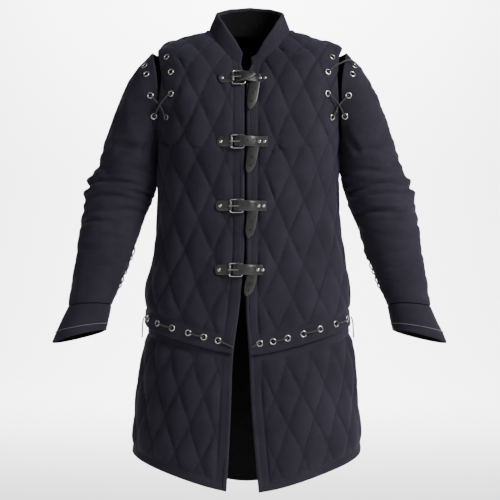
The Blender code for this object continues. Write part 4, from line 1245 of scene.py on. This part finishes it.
# ------------------------------------------------------------------ materials
class Nodes:
    """Short calls for building one material's nodes."""

    def __init__(self, name):
        self.material = bpy.data.materials.new(name)
        self.material.use_nodes = True
        self.tree = self.material.node_tree
        self.shader = self.tree.nodes["Principled BSDF"]

    def add(self, kind, inputs=None, **settings):
        """A node with settings; inputs maps socket names to values or outputs."""
        node = self.tree.nodes.new(kind)
        for key, value in settings.items():
            setattr(node, key, value)
        for key, value in (inputs or {}).items():
            self.put(node.inputs[key], value)
        return node

    def put(self, socket, value):
        """Link an output to a socket, or set its value."""
        if isinstance(value, bpy.types.NodeSocket):
            self.tree.links.new(value, socket)
        else:
            socket.default_value = value

    def math(self, operation, a, b=0.0, c=0.0):
        """Result of one Math node."""
        node = self.tree.nodes.new("ShaderNodeMath")
        node.operation = operation
        for socket, value in zip(node.inputs, (a, b, c)):
            self.put(socket, value)
        return node.outputs[0]

    def uv(self, layer):
        """The x and y of a UV layer, and its vector."""
        node = self.add("ShaderNodeUVMap", uv_map=layer)
        parts = self.add("ShaderNodeSeparateXYZ", {0: node.outputs[0]})
        return parts.outputs[0], parts.outputs[1], node.outputs[0]

    def noise(self, vector, scale, detail=4.0, rough=0.55):
        """Value of a noise texture."""
        node = self.add("ShaderNodeTexNoise",
                        {"Vector": vector, "Scale": scale, "Detail": detail, "Roughness": rough})
        return node.outputs["Fac"]

    def ramp(self, value, stops):
        """Colour or grey read from a ramp."""
        node = self.add("ShaderNodeValToRGB", {"Fac": value})
        ramp = node.color_ramp
        while len(ramp.elements) < len(stops):
            ramp.elements.new(0.5)
        for element, (place, colour) in zip(ramp.elements, stops):
            element.position = place
            element.color = (*colour, 1.0)
        return node.outputs["Color"]

    def mix(self, amount, a, b):
        """Mix of two colours."""
        node = self.add("ShaderNodeMix", data_type="RGBA")
        self.put(node.inputs[0], amount)
        self.put(node.inputs[6], a if isinstance(a, bpy.types.NodeSocket) else (*a, 1.0))
        self.put(node.inputs[7], b if isinstance(b, bpy.types.NodeSocket) else (*b, 1.0))
        return node.outputs[2]

    def bump(self, height, distance, strength=1.0, normal=None):
        """A bump on top of another normal."""
        inputs = {"Height": height, "Distance": distance, "Strength": strength}
        if normal is not None:
            inputs["Normal"] = normal
        return self.add("ShaderNodeBump", inputs).outputs[0]

    def finish(self, colour, roughness, normal, **fixed):
        """Connect the shader and set its uniform values."""
        self.put(self.shader.inputs["Base Color"], colour)
        self.put(self.shader.inputs["Roughness"], roughness)
        self.put(self.shader.inputs["Normal"], normal)
        for key, value in fixed.items():
            self.shader.inputs[key.replace("_", " ")].default_value = value
        return self.material


def weave_height(n, x, y, thread):
    """Plain weave: two families of threads that pass over and under each other."""
    a = n.math("SINE", n.math("MULTIPLY", x, TAU / (2.0 * thread)))
    b = n.math("SINE", n.math("MULTIPLY", y, TAU / (2.0 * thread)))
    fine_x = n.math("ABSOLUTE", n.math("SINE", n.math("MULTIPLY", x, TAU / (2.0 * thread))))
    fine_y = n.math("ABSOLUTE", n.math("SINE", n.math("MULTIPLY", y, TAU / (2.0 * thread))))
    over = n.math("MULTIPLY", n.math("MULTIPLY", a, b), 0.5)
    return n.math("ADD", over, n.math("MULTIPLY", n.math("ADD", fine_x, fine_y), 0.5))


def stitch_line(n, across, wide, along, pitch):
    """Mask of a stitched line at whole numbers of across; along runs in metres."""
    off = n.math("ABSOLUTE", n.math("SUBTRACT", across, n.math("ROUND", across)))
    on_line = n.math("LESS_THAN", n.math("MULTIPLY", off, wide), 0.00055)
    phase = n.math("FRACT", n.math("DIVIDE", along, pitch))
    return n.math("MULTIPLY", on_line, n.math("LESS_THAN", phase, 0.72))


def cloth_material(name, dark, light, stitched):
    """Matt black cotton canvas with a faint purple cast, weave, nap and stitching; quilted panels also get dirt and
    painted shade along their quilting lines.
    """
    n = Nodes(name)
    x, y, vector = n.uv("cloth")
    place = n.add("ShaderNodeTexCoord").outputs["Object"]
    broad = n.noise(place, 9.0, 5.0, 0.6)
    blotch = n.noise(place, 55.0, 4.0, 0.6)
    lint = n.noise(place, 1400.0, 2.0, 0.7)
    colour = n.mix(n.ramp(broad, ((0.32, (0.0,) * 3), (0.68, (1.0,) * 3))), dark, light)
    colour = n.mix(n.math("MULTIPLY", n.ramp(blotch, ((0.45, (0.0,) * 3), (0.75, (1.0,) * 3))), 0.35), colour,
                   tuple(1.25 * c for c in light))
    colour = n.mix(n.math("MULTIPLY", n.ramp(lint, ((0.62, (0.0,) * 3), (0.72, (1.0,) * 3))), 0.5), colour,
                   (0.075, 0.072, 0.086))
    weave = weave_height(n, x, y, 0.00055)
    normal = n.bump(weave, 0.00016, 0.8)
    normal = n.bump(n.noise(vector, 260.0, 3.0, 0.6), 0.0003, 0.5, normal)
    if stitched:
        p, q, _ = n.uv("quilt")
        band, _, _ = n.uv("band")
        wide = DIAMOND_WIDE * 0.91
        reach = 0.5 * math.hypot(DIAMOND_WIDE, DIAMOND_HIGH)
        one = stitch_line(n, p, wide, n.math("MULTIPLY", q, reach), 0.0036)
        two = stitch_line(n, q, wide, n.math("MULTIPLY", p, reach), 0.0036)
        inner = n.math("GREATER_THAN", band, 0.0)
        stitch = n.math("MULTIPLY", n.math("MAXIMUM", one, two), inner)
        edge = n.math("LESS_THAN", n.math("ABSOLUTE", band), 0.0006)
        dash = n.math("LESS_THAN", n.math("FRACT", n.math("DIVIDE", n.math("ADD", x, y), 0.0036)), 0.72)
        stitch = n.math("MAXIMUM", stitch, n.math("MULTIPLY", edge, dash))
        # Darker along the quilting lines: partly dirt in the stitches, partly painted shade in the valleys between
        # the pads; patchy noise varies its strength.
        near_p = n.math("ABSOLUTE", n.math("SUBTRACT", p, n.math("ROUND", p)))
        near_q = n.math("ABSOLUTE", n.math("SUBTRACT", q, n.math("ROUND", q)))
        nearest = n.math("MINIMUM", n.math("MINIMUM", near_p, near_q), 0.050)
        line_dirt_and_shade = n.math("MULTIPLY", n.math("SUBTRACT", 1.0, n.math("DIVIDE", nearest, 0.050)), inner)
        patchy = n.ramp(n.noise(place, 38.0, 3.0), ((0.35, (0.25,) * 3), (0.65, (0.85,) * 3)))
        colour = n.mix(n.math("MULTIPLY", line_dirt_and_shade, patchy), colour, tuple(0.28 * c for c in dark))
        colour = n.mix(n.math("MULTIPLY", stitch, 0.35), colour, (0.030, 0.029, 0.036))
        normal = n.bump(stitch, 0.0004, 0.8, normal)
    rough = n.ramp(blotch, ((0.3, (0.84,) * 3), (0.7, (0.96,) * 3)))
    return n.finish(colour, rough, normal, Sheen_Weight=0.07, Sheen_Roughness=0.45,
                    Sheen_Tint=(0.66, 0.60, 1.0, 1.0), Specular_IOR_Level=0.12)


def leather_material():
    """Black leather: fine grain, worn and greyer along the edges."""
    n = Nodes("strap_leather")
    _, y, _ = n.uv("cloth")
    place = n.add("ShaderNodeTexCoord").outputs["Object"]
    grain = n.add("ShaderNodeTexVoronoi", {"Vector": place, "Scale": 900.0}, feature="DISTANCE_TO_EDGE")
    cells = grain.outputs["Distance"]
    scuff = n.noise(place, 120.0, 6.0, 0.65)
    edge = n.ramp(n.math("ABSOLUTE", y), ((0.0082, (0.0,) * 3), (0.0102, (1.0,) * 3)))
    worn = n.ramp(scuff, ((0.4, (0.0,) * 3), (0.75, (1.0,) * 3)))
    colour = n.mix(worn, (0.0072, 0.0070, 0.0074), (0.0175, 0.0168, 0.0168))
    colour = n.mix(n.math("MULTIPLY", edge, 0.65), colour, (0.040, 0.038, 0.036))
    normal = n.bump(cells, 0.00035, 0.6)
    normal = n.bump(n.noise(place, 60.0, 3.0), 0.0012, 0.35, normal)
    rough = n.ramp(scuff, ((0.3, (0.30,) * 3), (0.7, (0.52,) * 3)))
    return n.finish(colour, rough, normal, Specular_IOR_Level=0.6, Coat_Weight=0.12, Coat_Roughness=0.3)


def metal_material():
    """Nickel plate with fine scratches and dull patches."""
    n = Nodes("nickel_plate")
    place = n.add("ShaderNodeTexCoord").outputs["Object"]
    dull = n.noise(place, 240.0, 5.0, 0.6)
    colour = n.mix(dull, (0.36, 0.35, 0.345), (0.52, 0.51, 0.50))
    normal = n.bump(n.noise(place, 1800.0, 3.0), 0.00006, 0.5)
    rough = n.ramp(dull, ((0.3, (0.16,) * 3), (0.75, (0.36,) * 3)))
    return n.finish(colour, rough, normal, Metallic=1.0)


def cord_material(name, dark, light):
    """Round braided cord: slanting strands."""
    n = Nodes(name)
    x, y, _ = n.uv("cloth")
    one = n.math("SINE", n.math("MULTIPLY", n.math("ADD", x, y), TAU / 0.0014))
    two = n.math("SINE", n.math("MULTIPLY", n.math("SUBTRACT", x, y), TAU / 0.0014))
    strands = n.math("MAXIMUM", one, two)
    colour = n.mix(n.math("MULTIPLY_ADD", strands, 0.5, 0.5), dark, light)
    normal = n.bump(strands, 0.0003, 0.9)
    return n.finish(colour, 0.8, normal, Sheen_Weight=0.15, Specular_IOR_Level=0.3)


def hole_material():
    """Shadow inside a small hole."""
    n = Nodes("hole_dark")
    place = n.add("ShaderNodeTexCoord").outputs["Object"]
    colour = n.mix(n.noise(place, 900.0), (0.002, 0.002, 0.0024), (0.006, 0.006, 0.007))
    return n.finish(colour, 0.95, n.bump(n.noise(place, 1200.0), 0.0001, 0.3), Specular_IOR_Level=0.1)


# ------------------------------------------------------------------ stage
FLOOR_Z = -1.30
WALL_Y = 7.0
BEND = 1.4


def make_stage():
    """Pale floor that curves up behind, soft studio lights, pale surroundings."""
    profile = [(-12.0, FLOOR_Z), (WALL_Y - BEND, FLOOR_Z)]
    profile += [(WALL_Y - BEND + BEND * math.sin(a), FLOOR_Z + BEND * (1.0 - math.cos(a)))
                for a in np.linspace(0.1, math.pi / 2, 14)]
    profile += [(WALL_Y, 5.0)]
    points = [(x, y, z) for y, z in profile for x in (-11.0, 11.0)]
    faces = [(2 * i, 2 * i + 1, 2 * i + 3, 2 * i + 2) for i in range(len(profile) - 1)]
    mesh = bpy.data.meshes.new("floor")
    mesh.from_pydata(points, [], faces)
    mesh.shade_smooth()
    material = bpy.data.materials.new("pale_floor")
    material.use_nodes = True
    shader = material.node_tree.nodes["Principled BSDF"]
    shader.inputs["Base Color"].default_value = (0.93, 0.93, 0.93, 1.0)
    shader.inputs["Roughness"].default_value = 0.9
    mesh.materials.append(material)
    floor = bpy.data.objects.new("floor", mesh)
    bpy.context.scene.collection.objects.link(floor)
    world = bpy.data.worlds.new("studio")
    world.use_nodes = True
    background = world.node_tree.nodes["Background"]
    background.inputs["Color"].default_value = (1.0, 1.0, 1.0, 1.0)
    background.inputs["Strength"].default_value = 0.19
    bpy.context.scene.world = world
    add_light("key", (2.3, -1.9, 1.3), (0.0, 0.0, -0.45), 1.3, 190.0)
    add_light("fill", (-2.2, -2.4, 0.2), (0.0, 0.0, -0.5), 2.0, 11.0)
    add_light("back_wash", (0.0, 4.6, 2.6), (0.0, 6.9, -0.7), 3.0, 1050.0)


def add_light(name, place, target, size, power):
    """A square soft light that faces a point."""
    data = bpy.data.lights.new(name, "AREA")
    data.energy = power
    data.size = size
    light = bpy.data.objects.new(name, data)
    light.location = place
    light.rotation_euler = (Vector(target) - Vector(place)).to_track_quat("-Z", "Y").to_euler()
    bpy.context.scene.collection.objects.link(light)


# ------------------------------------------------------------------ making everything
make_camera()
LACE = cord_material("lace_braid", (0.007, 0.007, 0.008), (0.034, 0.033, 0.036))
make_free_ends(LACE)
CANVAS = ((0.0132, 0.0120, 0.0178), (0.0215, 0.0194, 0.0295))       # dark and light threads
QUILTED = cloth_material("quilted_canvas", *CANVAS, True)
# The lining is black cloth made far darker than the outer canvas: painted shade inside the coat.
LININGS_PAINTED_SHADE.append(cloth_material("lining_cotton_painted_shade", (0.0020, 0.0020, 0.0022), (0.0036, 0.0036, 0.0040), False))
PLAIN = cloth_material("plain_canvas", *CANVAS, False)
BINDING = cloth_material("binding_cotton", (0.0160, 0.0148, 0.0200), (0.0245, 0.0226, 0.0320), False)
LEATHER = leather_material()
METAL = metal_material()
PIPING = cord_material("piping_cord", (0.05, 0.05, 0.058), (0.15, 0.15, 0.165))
DARK = hole_material()
FLAT_SPOTS += list_flat_spots()
make_jacket(QUILTED)
make_skirt(QUILTED)
for side, word in ((1, "left"), (-1, "right")):
    make_edge_binding(f"edge_binding_{word}", [f"front_binding_{word}"], side,
                      0.0, JACKET_HEM, 0.0, BINDING, 3)
    make_edge_binding(f"skirt_edge_{word}", [f"skirt_binding_{word}"], side,
                      SKIRT_TOP, SKIRT_HEM, -TUCK, BINDING, 4)
make_collar(PLAIN, BINDING)
make_arms(PLAIN, PIPING)
make_closures(LEATHER, METAL, DARK)
make_laces(LACE)
make_eyelets(METAL, DARK)
make_stage()
